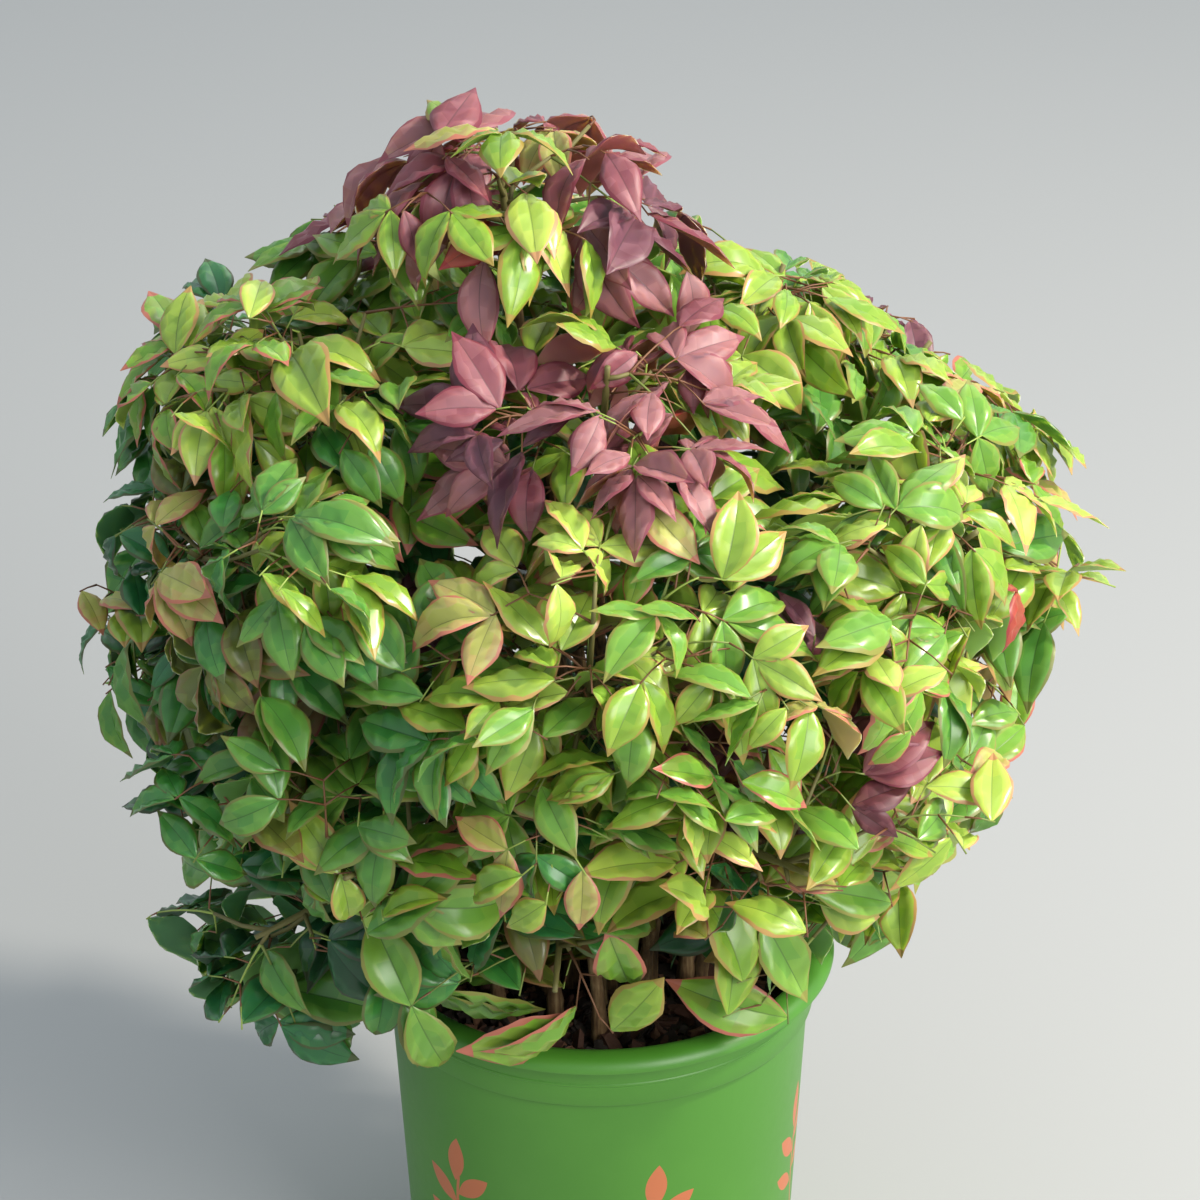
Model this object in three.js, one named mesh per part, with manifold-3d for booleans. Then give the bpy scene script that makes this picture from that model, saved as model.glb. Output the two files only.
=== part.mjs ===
// A heavenly bamboo: a dwarf evergreen shrub, grown as a clump of thin upright canes in a green nursery pot.
// The canes rise unbranched from the root ball, lean outwards and end in ruffs of compound leaves,
// which close up into one ball-shaped crown that droops over the pot's rim.
// Millimetres, +Z up. The origin is the middle of the pot's flat underside, and -Y is the crown's front.
import * as THREE from "three";
import { mergeVertices } from "three/addons/utils/BufferGeometryUtils.js";
import Module from "manifold-3d";

const wasm = await Module();
wasm.setup();

// ---- Driving dimensions ----
const rimHeight = 246; // underside of the pot to the top of its rim
const rimRadius = 140.5; // outer edge of the rolled rim
const neckRadius = 128.5; // plain band under the rim
const baseRadius = 114; // foot of the tapering wall
const wall = 2.4; // thickness of the moulded plastic
const soilHeight = 218; // flat top of the root ball
const gap = 0.3; // between pieces that rest against each other

const caneFoot = 4.6; // radius of a cane at the soil, before its flare
const caneTip = 2.8; // radius of a cane where its ruff of leaves begins
const stalkRadius = 1.4; // corner radius of a compound leaf's three-sided stalk
const stemInner = 46; // a ruff's stem starts this far inside the middle of its mass
const stemOuter = 34; // and ends this far outside it
const frondLength = 34; // stalk of a compound leaf, up to its leaflets
const leafletLength = 88;
const leafletWidth = 47;
const leafletThickness = 1.6;
const frondsInRuff = 11;

// The crown's outline, from its tip down: how far it reaches from its axis at each height,
// and how far that axis leans to the side.
const crownOutline = [
  { height: 786, reach: 50, lean: -35 },
  { height: 740, reach: 82, lean: -40 },
  { height: 700, reach: 122, lean: -54 },
  { height: 668, reach: 164, lean: -62 },
  { height: 642, reach: 214, lean: -38 },
  { height: 600, reach: 248, lean: -20 },
  { height: 540, reach: 293, lean: -4 },
  { height: 430, reach: 289, lean: -8 },
  { height: 350, reach: 262, lean: -18 },
  { height: 250, reach: 234, lean: -32 },
  { height: 170, reach: 204, lean: -22 },
];
const frontCut = 0.31; // low down the front is cut in by this share, so that the rim shows

// The crown's masses stand in rings round its axis, inset from the outline. Azimuths are in degrees and
// run from the front (-Y) towards +X. The canes of a tier root in a ring of their own.
const tiers = [
  { name: "top", rootRing: 0, height: 700, inset: 130, azimuth: 0, count: 1 },
  { name: "upper", rootRing: 17, height: 636, inset: 96, azimuth: 20, count: 4 },
  { name: "middle", rootRing: 35, height: 545, inset: 70, azimuth: 0, count: 6 },
  { name: "lower", rootRing: 52, height: 420, inset: 58, azimuth: 30, count: 6 },
  { name: "skirt", rootRing: 69, height: 325, inset: 48, azimuth: 0, count: 6 },
];
const tints = { rose: 0xa85a62, lime: 0x9cbf3a, green: 0x4e8f34, deep: 0x2c6636 };
const tintOf = {
  top_1: "rose", upper_1: "rose", middle_5: "deep", middle_6: "green",
  lower_4: "deep", lower_5: "deep", lower_6: "green", skirt_4: "deep", skirt_5: "deep",
};

const up = new THREE.Vector3(0, 0, 1);
const degrees = Math.PI / 180;
const goldenAngle = 137.5 * degrees;

// ---- Small helpers ----
const mix = (a, b, t) => a + (b - a) * t;

function seeded(seed) {
  let state = seed >>> 0;
  return () => {
    state = (state + 0x6d2b79f5) >>> 0;
    let t = Math.imul(state ^ (state >>> 15), 1 | state);
    t = (t + Math.imul(t ^ (t >>> 7), 61 | t)) ^ t;
    return ((t ^ (t >>> 14)) >>> 0) / 4294967296;
  };
}

const jitter = (random, size) => (random() * 2 - 1) * size;

function direction(azimuth, elevation) {
  const a = azimuth * degrees;
  const e = elevation * degrees;
  return new THREE.Vector3(Math.sin(a) * Math.cos(e), -Math.cos(a) * Math.cos(e), Math.sin(e));
}

function sideOf(axis) {
  const side = new THREE.Vector3().crossVectors(axis, up);
  return side.lengthSq() > 1e-4 ? side.normalize() : new THREE.Vector3(1, 0, 0);
}

function geometryOf(vertices, triangles) {
  return new THREE.BufferGeometry()
    .setAttribute("position", new THREE.Float32BufferAttribute(vertices.flatMap((v) => v.toArray()), 3))
    .setIndex(triangles.flat());
}

function solidOf(geometry) {
  const bare = geometry.index ? geometry.clone() : geometry;
  bare.deleteAttribute("normal");
  bare.deleteAttribute("uv");
  const merged = mergeVertices(bare, 1e-4);
  const vertProperties = new Float32Array(merged.attributes.position.array);
  const triVerts = new Uint32Array(merged.index.array);
  return new wasm.Manifold(new wasm.Mesh({ numProp: 3, vertProperties, triVerts }));
}

function geometryOfSolid(solid) {
  const { vertProperties, triVerts } = solid.getMesh();
  return new THREE.BufferGeometry()
    .setAttribute("position", new THREE.BufferAttribute(vertProperties, 3))
    .setIndex(new THREE.BufferAttribute(triVerts, 1));
}

// Keeps the outer skin of the largest body: hollows that joining has sealed are filled and scraps dropped.
function outerShell(geometry) {
  const index = Array.from(geometry.index.array);
  const position = geometry.attributes.position;
  const parent = Array.from({ length: position.count }, (_, i) => i);
  const find = (i) => {
    let top = i;
    while (parent[top] !== top) top = parent[top];
    parent[i] = top;
    return top;
  };
  for (let i = 0; i < index.length; i += 3) {
    parent[find(index[i])] = find(index[i + 1]);
    parent[find(index[i + 1])] = find(index[i + 2]);
  }
  const shells = new Map();
  for (let i = 0; i < index.length; i += 3) {
    const shell = shells.get(find(index[i])) ?? { faces: [], volume: 0 };
    const [a, b, c] = index.slice(i, i + 3);
    const corner = (k) => new THREE.Vector3().fromBufferAttribute(position, k);
    shell.faces.push(a, b, c);
    shell.volume += corner(a).dot(corner(b).cross(corner(c)));
    shells.set(find(a), shell);
  }
  const largest = [...shells.values()].sort((a, b) => b.volume - a.volume)[0];
  return new THREE.BufferGeometry().setAttribute("position", position).setIndex(largest.faces);
}

// Skins rings of corners into one closed solid, with a flat cap at each end or a point at the far one.
function skin(rings, tip) {
  const sides = rings[0].length;
  const vertices = rings.flat();
  const triangles = [];
  const last = vertices.length - sides;
  for (let a = 0; a < last; a += 1) {
    const b = a + 1 - (a % sides === sides - 1 ? sides : 0);
    triangles.push([a, b, b + sides], [a, b + sides, a + sides]);
  }
  for (let k = 1; k + 1 < sides; k += 1) {
    triangles.push([0, k + 1, k]);
    if (!tip) triangles.push([last, last + k, last + k + 1]);
  }
  if (tip) {
    for (let k = 0; k < sides; k += 1) triangles.push([last + k, last + ((k + 1) % sides), vertices.length]);
    vertices.push(tip);
  }
  return geometryOf(vertices, triangles);
}

function limbGeometry(points, tangents, radii, sides) {
  let side = sideOf(tangents[0]);
  const rings = points.map((point, i) => {
    side = side.clone().addScaledVector(tangents[i], -side.dot(tangents[i])).normalize();
    return Array.from({ length: sides }, (_, k) => {
      const turn = new THREE.Quaternion().setFromAxisAngle(tangents[i], (k / sides) * 2 * Math.PI);
      return point.clone().addScaledVector(side.clone().applyQuaternion(turn), radii[i]);
    });
  });
  return skin(rings);
}

function limbAlong(curve, steps, radiusAt, sides) {
  const shares = Array.from({ length: steps + 1 }, (_, i) => i / steps);
  const points = shares.map((t) => curve.getPoint(t));
  const tangents = shares.map((t) => curve.getTangent(t));
  return { points, geometry: limbGeometry(points, tangents, shares.map(radiusAt), sides) };
}

// ---- Pot and root ball ----
const roundSteps = 32;

function lathe(profile) {
  const geometry = new THREE.LatheGeometry(profile.map(([r, z]) => new THREE.Vector2(r, z)), roundSteps);
  return geometry.rotateX(Math.PI / 2); // LatheGeometry turns about Y
}

const wallRadius = (z) => mix(baseRadius, neckRadius - 1.2, z / rimHeight);

function potGeometry() {
  const foot = 6; // height of the rounded bottom edge
  const stepHeight = rimHeight - 39; // where the plain band ends
  const lipHeight = rimHeight - 9;
  const profile = [
    [0, 0], [baseRadius - foot, 0], [baseRadius - 1, foot / 2], [wallRadius(foot * 2), foot * 2],
    [wallRadius(stepHeight), stepHeight], [neckRadius, stepHeight + 2], [neckRadius, lipHeight - 1],
    [rimRadius - 1, lipHeight], [rimRadius, lipHeight + 2], [rimRadius - 3, lipHeight + 5],
    [neckRadius + 1, rimHeight], [neckRadius - wall - 1, rimHeight - 0.5],
    [neckRadius - wall - 1.5, lipHeight - 4], [wallRadius(foot) - wall, foot + wall], [0, foot + wall],
  ];
  const drainHoles = 6;
  const drain = { width: 24, height: 12, lift: 13 };
  let pot = solidOf(lathe(profile));
  for (let i = 0; i < drainHoles; i += 1) {
    const cutter = new THREE.CylinderGeometry(drain.height / 2, drain.height / 2, 24, 8);
    cutter.scale(drain.width / drain.height, 1, 1);
    cutter.translate(0, -baseRadius, drain.lift + drain.height / 2);
    cutter.rotateZ(((i + 0.5) / drainHoles) * 2 * Math.PI);
    pot = pot.subtract(solidOf(cutter));
  }
  return geometryOfSolid(pot);
}

function soilGeometry() {
  const floor = 6 + wall + gap; // rests on the pot's floor, just clear of its wall
  const inside = (z) => wallRadius(z) - wall - 1.6;
  return lathe([
    [0, floor], [inside(8) - 3, floor], [inside(12), floor + 5], [inside(soilHeight) - 0.8, soilHeight - 8],
    [inside(soilHeight) - 8, soilHeight - 3], [inside(soilHeight) - 34, soilHeight], [0, soilHeight],
  ]);
}

// ---- Crown: masses, canes and ruffs ----
function outlineAt(height) {
  const rows = crownOutline;
  if (height > rows[0].height || height < rows.at(-1).height) return { reach: 0, lean: 0 };
  const i = Math.max(1, rows.findIndex((row) => row.height <= height));
  const t = (height - rows[i].height) / (rows[i - 1].height - rows[i].height);
  const low = THREE.MathUtils.smoothstep(430 - height, 0, 130);
  return {
    reach: mix(rows[i].reach, rows[i - 1].reach, t),
    lean: mix(rows[i].lean, rows[i - 1].lean, t),
    cut: frontCut * low,
  };
}

const reachTowards = ({ reach, cut }, x, y) => reach * (1 - (cut * Math.max(0, -y)) / Math.hypot(x, y, 1e-6));

function insideCrown(point) {
  const row = outlineAt(point.z);
  const x = point.x - row.lean;
  return Math.hypot(x, point.y) < reachTowards(row, x, point.y);
}

function layOutMasses() {
  const core = new THREE.Vector3(-12, 0, 430); // the middle of the whole crown
  return tiers.flatMap(({ name, rootRing, height, inset, azimuth, count }, tier) =>
    Array.from({ length: count }, (_, i) => {
      const turn = azimuth + (i * 360) / count;
      const lifted = height + 16 * Math.sin(2.4 * i + tier + 2);
      const way = direction(turn, 0);
      const row = outlineAt(lifted);
      const middle = way.clone().multiplyScalar(Math.max(0, reachTowards(row, way.x, way.y) - inset));
      middle.add(new THREE.Vector3(row.lean, 0, lifted));
      const outward = middle.clone().sub(core).normalize();
      const axis = outward.clone().addScaledVector(up, 0.35).normalize();
      return { name: `${name}_${i + 1}`, turn, rootRing, middle, outward, axis, seed: 31 * tier + i + 7 };
    }),
  );
}

function makeCane(mass) {
  const root = direction(mass.turn, 0).multiplyScalar(mass.rootRing);
  root.z = soilHeight + gap;
  const tip = mass.middle.clone().addScaledVector(mass.axis, -stemInner - gap);
  const rise = (tip.z - root.z) * 0.55;
  const reach = root.distanceTo(tip) * 0.22;
  const curve = new THREE.CubicBezierCurve3(
    root, root.clone().addScaledVector(up, rise), tip.clone().addScaledVector(mass.axis, -reach), tip,
  );
  const radiusAt = (t) => mix(caneFoot, caneTip, Math.sqrt(t)) + (t === 0 ? 1.2 : 0);
  return limbAlong(curve, 4, radiusAt, 5);
}

// A mass keeps to the space nearer its own middle than to any other's.
function keepsToCell(point, mass, masses) {
  return masses.every((other) => {
    if (other === mass) return true;
    const away = other.middle.clone().sub(mass.middle);
    const half = away.length() / 2;
    return point.clone().sub(mass.middle).dot(away.normalize()) < half - 0.5;
  });
}

function clearOfPot(point) {
  const radius = Math.hypot(point.x, point.y);
  return radius > rimRadius + 7 || point.z > rimHeight + 5;
}

function distanceToLimb(point, limb) {
  return Math.min(
    ...limb.slice(1).map((end, i) => {
      const nearest = new THREE.Line3(limb[i], end).closestPointToPoint(point, true, new THREE.Vector3());
      return nearest.distanceTo(point);
    }),
  );
}

// The rule for what may grow: inside the outline and its own cell, and clear of the pot and every cane.
function roomIn(mass, masses, limbs) {
  const near = limbs.filter((limb) => distanceToLimb(mass.middle, limb) < 190);
  return (corners, samples) =>
    corners.every((p) => insideCrown(p) && keepsToCell(p, mass, masses)) &&
    samples.every((p) => clearOfPot(p) && near.every((limb) => distanceToLimb(p, limb) > caneFoot + 3));
}

// A leaflet is a thin pointed blade: root, tip, two shoulders and a ridge, folded under along its midrib.
function leafletCorners(root, along, normal, size) {
  const length = leafletLength * size;
  const width = leafletWidth * size;
  const side = new THREE.Vector3().crossVectors(along, normal).normalize();
  const place = (share, across, lift) =>
    root.clone().addScaledVector(along, share * length).addScaledVector(side, across).addScaledVector(normal, lift);
  const droop = -0.1 * length;
  return [
    place(0, 0, 0), place(1, 0, droop),
    place(0.4, width / 2, 0.55 * droop), place(0.4, -width / 2, 0.55 * droop),
    place(0.4, 0, 0.4 * droop + leafletThickness),
  ];
}

const leafletFaces = [[0, 2, 4], [2, 1, 4], [1, 3, 4], [3, 0, 4], [2, 0, 1], [0, 3, 1]];

function leafletSamples([root, tip, left, right, ridge]) {
  const samples = [];
  const steps = 6;
  for (const shoulder of [left, right]) {
    for (const end of [root, tip]) {
      for (let i = 0; i <= steps; i += 1) {
        for (let k = 0; k + i <= steps; k += 1) {
          const point = shoulder.clone().multiplyScalar(i / steps).addScaledVector(end, k / steps);
          samples.push(point.addScaledVector(ridge, (steps - i - k) / steps));
        }
      }
    }
  }
  return samples;
}

// A three-sided stalk whose sides run on into the leaflet at its end, or stop at a flat end without one.
function stalkSolid(start, end, corners) {
  const heading = end.clone().sub(start).normalize();
  const side = corners ? corners[2].clone().sub(corners[3]) : sideOf(heading);
  side.addScaledVector(heading, -side.dot(heading)).normalize();
  const top = new THREE.Vector3().crossVectors(side, heading);
  const ring = (middle) =>
    [-0.87, 0, 0.87].map((across) =>
      middle.clone().addScaledVector(side, across * stalkRadius).addScaledVector(top, (across ? -0.5 : 1) * stalkRadius),
    );
  if (!corners) return solidOf(skin([ring(start), ring(end)]));
  const [, tip, left, right, ridge] = corners;
  return solidOf(skin([ring(start), ring(end), [right, ridge, left]], tip));
}

// Tries a leaflet as it grows, then turned aside or smaller, and gives up if it never fits.
function growLeaflet(root, along, normal, size, grown, hasRoom) {
  for (const [turn, share] of [[0, 1], [22, 1], [-22, 1], [0, 0.82], [40, 0.82], [-40, 0.82], [0, 0.66]]) {
    const turned = along.clone().applyAxisAngle(normal, turn * degrees);
    const corners = leafletCorners(root, turned, normal, size * share);
    if (!hasRoom(corners, leafletSamples(corners))) continue;
    const solid = solidOf(geometryOf(corners, leafletFaces));
    if (!grown.some((other) => solid.intersect(other).volume() > 0)) return { corners, solid };
  }
  return null;
}

// One compound leaf: a stalk with a leaflet at its end and one on each side, spread to face outwards.
function growFrond(start, heading, mass, random, grown, hasRoom) {
  const length = frondLength * (1 + jitter(random, 0.25));
  const end = start.clone().addScaledVector(heading, length).addScaledVector(up, -0.1 * length);
  const stalk = stalkSolid(start, end);
  if (!hasRoom([end], [end]) || grown.some((other) => stalk.intersect(other).volume() > 0)) return [];
  const normal = mass.outward.clone().addScaledVector(up, 0.3)
    .add(new THREE.Vector3(jitter(random, 0.4), jitter(random, 0.4), jitter(random, 0.3))).normalize();
  const spread = heading.clone().addScaledVector(normal, -0.85 * heading.dot(normal)).normalize();
  const square = normal.clone().addScaledVector(spread, -normal.dot(spread)).normalize();
  const [ending, ...sides] = [0, 64, -64].reduce((leaflets, turn) => {
    const along = spread.clone().applyAxisAngle(square, (turn + jitter(random, 10)) * degrees)
      .addScaledVector(up, -0.18).normalize();
    const face = square.clone().addScaledVector(along, -square.dot(along)).normalize();
    const root = start.clone().lerp(end, turn ? 0.86 : 1);
    const blades = leaflets.filter(Boolean).map((leaflet) => leaflet.solid);
    return [...leaflets, growLeaflet(root, along, face, 1 + jitter(random, 0.12), [...grown, ...blades], hasRoom)];
  }, []);
  const blades = sides.filter(Boolean).map((leaflet) => leaflet.solid);
  if (ending) return [stalkSolid(start, end, ending.corners), ...blades];
  return blades.length ? [stalk, ...blades] : [];
}

// A ruff: one stem that carries on from its cane, with compound leaves set round it in a spiral.
function ruffGeometry(mass, masses, limbs) {
  const random = seeded(mass.seed);
  const base = mass.middle.clone().addScaledVector(mass.axis, -stemInner);
  const tip = mass.middle.clone().addScaledVector(mass.axis, stemOuter);
  const stem = limbAlong(new THREE.LineCurve3(base, tip), 1, (t) => mix(caneTip, 2.2, t), 5);
  const hasRoom = roomIn(mass, masses, limbs);
  const grown = [];
  const side = sideOf(mass.axis);
  for (let i = 0; i < frondsInRuff; i += 1) {
    const share = i / (frondsInRuff - 1);
    const start = base.clone().lerp(tip, mix(0.25, 0.98, share));
    const tilt = mix(92, 26, share ** 1.6) * degrees;
    for (const swing of [0, 45, -45]) {
      const around = side.clone().applyAxisAngle(mass.axis, i * goldenAngle + mass.seed + swing * degrees);
      const heading = mass.axis.clone().multiplyScalar(Math.cos(tilt)).addScaledVector(around, Math.sin(tilt));
      const frond = growFrond(start, heading, mass, random, grown, hasRoom);
      grown.push(...frond);
      if (frond.length) break;
    }
  }
  return outerShell(geometryOfSolid(grown.reduce((joined, solid) => joined.add(solid), solidOf(stem.geometry))));
}

// ---- The plant ----
function mesh(name, geometry, color, roughness) {
  const made = new THREE.Mesh(geometry, new THREE.MeshStandardMaterial({ color, roughness, metalness: 0 }));
  made.name = name;
  return made;
}

function buildPlant() {
  const plant = new THREE.Group();
  plant.add(mesh("pot", potGeometry(), 0x4f9a2e, 0.35), mesh("root_ball", soilGeometry(), 0x2b1c14, 0.95));
  const masses = layOutMasses();
  const canes = masses.map(makeCane);
  masses.forEach((mass, i) => {
    plant.add(mesh(`cane_${mass.name}`, canes[i].geometry, 0x6a5138, 0.8));
  });
  const limbs = canes.map((cane) => cane.points);
  masses.forEach((mass) => {
    const tint = tints[tintOf[mass.name] ?? "lime"];
    plant.add(mesh(`foliage_${mass.name}`, ruffGeometry(mass, masses, limbs), tint, 0.5));
  });
  return plant;
}

export default buildPlant();
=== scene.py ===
import math
import random
import bpy
import numpy as np
from mathutils import Matrix, Quaternion, Vector


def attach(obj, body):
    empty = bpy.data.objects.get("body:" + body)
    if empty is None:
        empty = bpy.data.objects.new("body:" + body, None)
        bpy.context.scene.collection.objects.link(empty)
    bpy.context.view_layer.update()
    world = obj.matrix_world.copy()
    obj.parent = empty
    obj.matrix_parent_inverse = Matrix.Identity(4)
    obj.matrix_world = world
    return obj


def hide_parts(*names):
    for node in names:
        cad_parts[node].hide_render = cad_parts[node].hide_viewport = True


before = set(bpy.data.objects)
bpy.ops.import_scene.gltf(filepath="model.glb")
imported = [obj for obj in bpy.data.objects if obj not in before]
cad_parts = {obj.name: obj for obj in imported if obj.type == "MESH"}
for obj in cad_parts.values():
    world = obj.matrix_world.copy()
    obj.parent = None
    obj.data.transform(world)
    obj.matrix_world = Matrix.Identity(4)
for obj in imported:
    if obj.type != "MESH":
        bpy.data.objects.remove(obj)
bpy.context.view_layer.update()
scene = bpy.context.scene
up = Vector((0.0, 0.0, 1.0))
wholeTurn = 6.28  # radians, for turns drawn at random


# metres, degrees and millimetres
shot = {"place": (0.002, -2.1316, 1.546), "pitchDown": 26.8, "roll": -0.4, "focal": 124.92, "sensor": 36.0}


def placeCamera():
    data = bpy.data.cameras.new("view")
    data.sensor_width = shot["sensor"]
    data.lens = shot["focal"]
    camera = bpy.data.objects.new("view", data)
    turned = Matrix.Rotation(math.radians(90 - shot["pitchDown"]), 4, "X")
    turned = turned @ Matrix.Rotation(math.radians(shot["roll"]), 4, "Z")
    camera.matrix_world = Matrix.Translation(shot["place"]) @ turned
    scene.collection.objects.link(camera)
    scene.camera = camera


studio = {
    "sky": (0.83, 0.93, 1.0), "skyStrength": 0.76,
    "lamps": {  # place, aim, width, power and tint
        "key": ((2.44, -0.25, 2.8), (0.0, 0.0, 0.45), 0.40, 124.0, (1.0, 0.94, 0.82)),
        "fill": ((1.6, -1.85, 1.65), (0.0, 0.0, 0.40), 1.40, 56.0, (1.0, 0.98, 0.94)),
        "back": ((0.6, 2.0, 2.2), (0.0, 0.0, 0.60), 1.40, 10.0, (1.0, 0.98, 0.94)),
    },
    "floorSize": 24, "floorDrop": 0.0005, "floorTone": 172,
}


def placeLights():
    world = bpy.data.worlds.new("studio")
    world.use_nodes = True
    sky = world.node_tree.nodes["Background"]
    sky.inputs["Color"].default_value = (*studio["sky"], 1.0)
    sky.inputs["Strength"].default_value = studio["skyStrength"]
    scene.world = world
    for name, (place, aim, width, power, tint) in studio["lamps"].items():
        data = bpy.data.lights.new(name, "AREA")
        data.size = width
        data.energy = power
        data.color = tint
        lamp = bpy.data.objects.new(name, data)
        lamp.location = place
        lamp.rotation_euler = (Vector(aim) - Vector(place)).to_track_quat("-Z", "Y").to_euler()
        scene.collection.objects.link(lamp)
    scene.view_settings.view_transform = "Standard"


def calc(operation, *values):
    tree = next(value.tree for value in values if isinstance(value, Wire))
    return node(tree, "ShaderNodeMath", {"operation": operation}, *values)


class Wire:  # a socket of a material, so that sums on patterns read as sums
    def __init__(self, socket):
        self.socket = socket
        self.tree = socket.id_data

    def __add__(self, other):
        return calc("ADD", self, other)

    def __mul__(self, other):
        return calc("MULTIPLY", self, other)

    def __sub__(self, other):
        return calc("SUBTRACT", self, other)

    __radd__ = __add__
    __rmul__ = __mul__


def node(tree, kind, settings=None, *values, output=0, **named):
    # one shader node, with its inputs given by number or by name
    made = tree.nodes.new(kind)
    for key, value in (settings or {}).items():
        if key == "stops":
            while len(made.color_ramp.elements) < len(value):
                made.color_ramp.elements.new(0.5)
            for stop, (place, colour) in zip(made.color_ramp.elements, value):
                stop.position = place
                stop.color = (*colour, 1.0)
        else:
            setattr(made, key, value)
    for key, value in [*enumerate(values), *((k.replace("_", " "), v) for k, v in named.items())]:
        if value is None:
            continue
        if isinstance(value, Wire):
            tree.links.new(value.socket, made.inputs[key])
        else:
            made.inputs[key].default_value = value
    return Wire(made.outputs[output])


def newFinish(name, colour, roughness, **constants):
    finish = bpy.data.materials.new(name)
    finish.use_nodes = True
    shader = finish.node_tree.nodes["Principled BSDF"]
    shader.inputs["Base Color"].default_value = (*colour, 1.0)
    shader.inputs["Roughness"].default_value = roughness
    for key, value in constants.items():
        shader.inputs[key.replace("_", " ")].default_value = value
    return finish


def connect(finish, **wires):
    shader = finish.node_tree.nodes["Principled BSDF"]
    for key, wire in wires.items():
        finish.node_tree.links.new(wire.socket, shader.inputs[key.replace("_", " ")])


def blended(tree, share, first, second):
    # five sockets for other kinds of value stand between the share and the two colours
    colours = [colour if isinstance(colour, Wire) else (*colour, 1.0) for colour in (first, second)]
    return node(tree, "ShaderNodeMix", {"data_type": "RGBA"}, share, *[None] * 5, *colours, output=2)


def objectPlace(tree):
    return node(tree, "ShaderNodeTexCoord", output=3)


def stretched(tree, place, across, along):
    return node(tree, "ShaderNodeMapping", None, Vector=place, Scale=(across, across, along))


def noise(tree, place, scale, detail, roughness=0.5):
    settings = {"Scale": scale, "Detail": detail, "Roughness": roughness}
    return node(tree, "ShaderNodeTexNoise", None, Vector=place, **settings)


def ranged(tree, value, low, high, start, end):
    return node(tree, "ShaderNodeMapRange", None, value, low, high, start, end)


def shaded(tree, value, *stops):
    return node(tree, "ShaderNodeValToRGB", {"stops": stops}, value)


def relief(tree, height, strength, depth):
    return node(tree, "ShaderNodeBump", None, Strength=strength, Distance=depth, Height=height)


def linear(*screen):
    # a colour in screen values, 0 to 255, as linear light
    return tuple(((c / 255 + 0.055) / 1.055) ** 2.4 if c > 10 else c / 255 / 12.92 for c in screen)


def deselectAll():
    for thing in bpy.context.selected_objects:
        thing.select_set(False)


def selectOnly(piece):
    deselectAll()
    piece.select_set(True)
    bpy.context.view_layer.objects.active = piece


def modelled(name):
    piece = bpy.context.active_object
    piece.name = name
    piece.data.name = name
    return piece


def settle(piece):
    # place, turn and scale go into the mesh
    selectOnly(piece)
    bpy.ops.object.transform_apply(location=True, rotation=True, scale=True)


def applyModifier(piece, kind, **settings):
    selectOnly(piece)
    modifier = piece.modifiers.new(kind.lower(), kind)
    for key, value in settings.items():
        setattr(modifier, key, value)
    bpy.ops.object.modifier_apply(modifier=modifier.name)


def latheProfile(name, profile, steps):
    # a ring of corners is drawn in through the profile, one extrusion to a point
    deselectAll()
    radius, height = profile[0]
    foot = (0, 0, height)
    bpy.ops.mesh.primitive_circle_add(vertices=steps, radius=radius, location=foot, fill_type="NGON")
    piece = modelled(name)
    settle(piece)
    bpy.ops.object.mode_set(mode="EDIT")
    bpy.ops.mesh.select_all(action="SELECT")
    for nextRadius, nextHeight in profile[1:]:
        bpy.ops.mesh.extrude_region_move(TRANSFORM_OT_translate={"value": (0, 0, nextHeight - height)})
        share = nextRadius / radius
        bpy.ops.transform.resize(value=(share, share, 1), center_override=(0, 0, nextHeight))
        radius, height = nextRadius, nextHeight
    bpy.ops.mesh.select_all(action="SELECT")
    bpy.ops.mesh.normals_make_consistent(inside=False)
    bpy.ops.object.mode_set(mode="OBJECT")
    return piece


def meshFromArrays(name, vertices, faces, slots, finishes, smooth=True):
    # faces: one array of corner numbers per face size
    mesh = bpy.data.meshes.new(name)
    vertices = np.asarray(vertices, np.float32).reshape(-1, 3)
    loops = np.concatenate([part.ravel() for part in faces]).astype(np.int32)
    sizes = np.concatenate([np.full(len(part), part.shape[1]) for part in faces]).astype(np.int32)
    mesh.vertices.add(len(vertices))
    mesh.vertices.foreach_set("co", vertices.ravel())
    mesh.loops.add(len(loops))
    mesh.loops.foreach_set("vertex_index", loops)
    mesh.polygons.add(len(sizes))
    starts = np.concatenate([[0], np.cumsum(sizes)[:-1]])
    mesh.polygons.foreach_set("loop_start", starts.astype(np.int32))
    mesh.polygons.foreach_set("loop_total", sizes)
    for finish in finishes:
        mesh.materials.append(finish)
    mesh.polygons.foreach_set("material_index", np.concatenate(slots).astype(np.int32))
    mesh.polygons.foreach_set("use_smooth", np.full(len(sizes), smooth))
    mesh.update(calc_edges=True)
    mesh.validate()
    piece = bpy.data.objects.new(name, mesh)
    scene.collection.objects.link(piece)
    return piece


pot = {
    "rimHeight": 0.246, "rimRadius": 0.1405, "neckRadius": 0.1285, "baseRadius": 0.114, "wall": 0.0024,
    "band": 0.039, "lip": 0.009, "ledge": 0.0012, "floor": 0.0084, "steps": 128, "smoothTo": 32,
    "drainHoles": 6, "drainWidth": 0.024, "drainHeight": 0.012, "drainLift": 0.019, "drainDepth": 0.024,
    "colour": linear(70, 130, 36), "worn": linear(86, 146, 48), "dust": linear(120, 116, 92),
    "roughness": 0.36, "shine": 0.6,
}


def wallRadius(height):
    base = pot["baseRadius"]
    return base + (pot["neckRadius"] - pot["ledge"] - base) * height / pot["rimHeight"]


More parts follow.
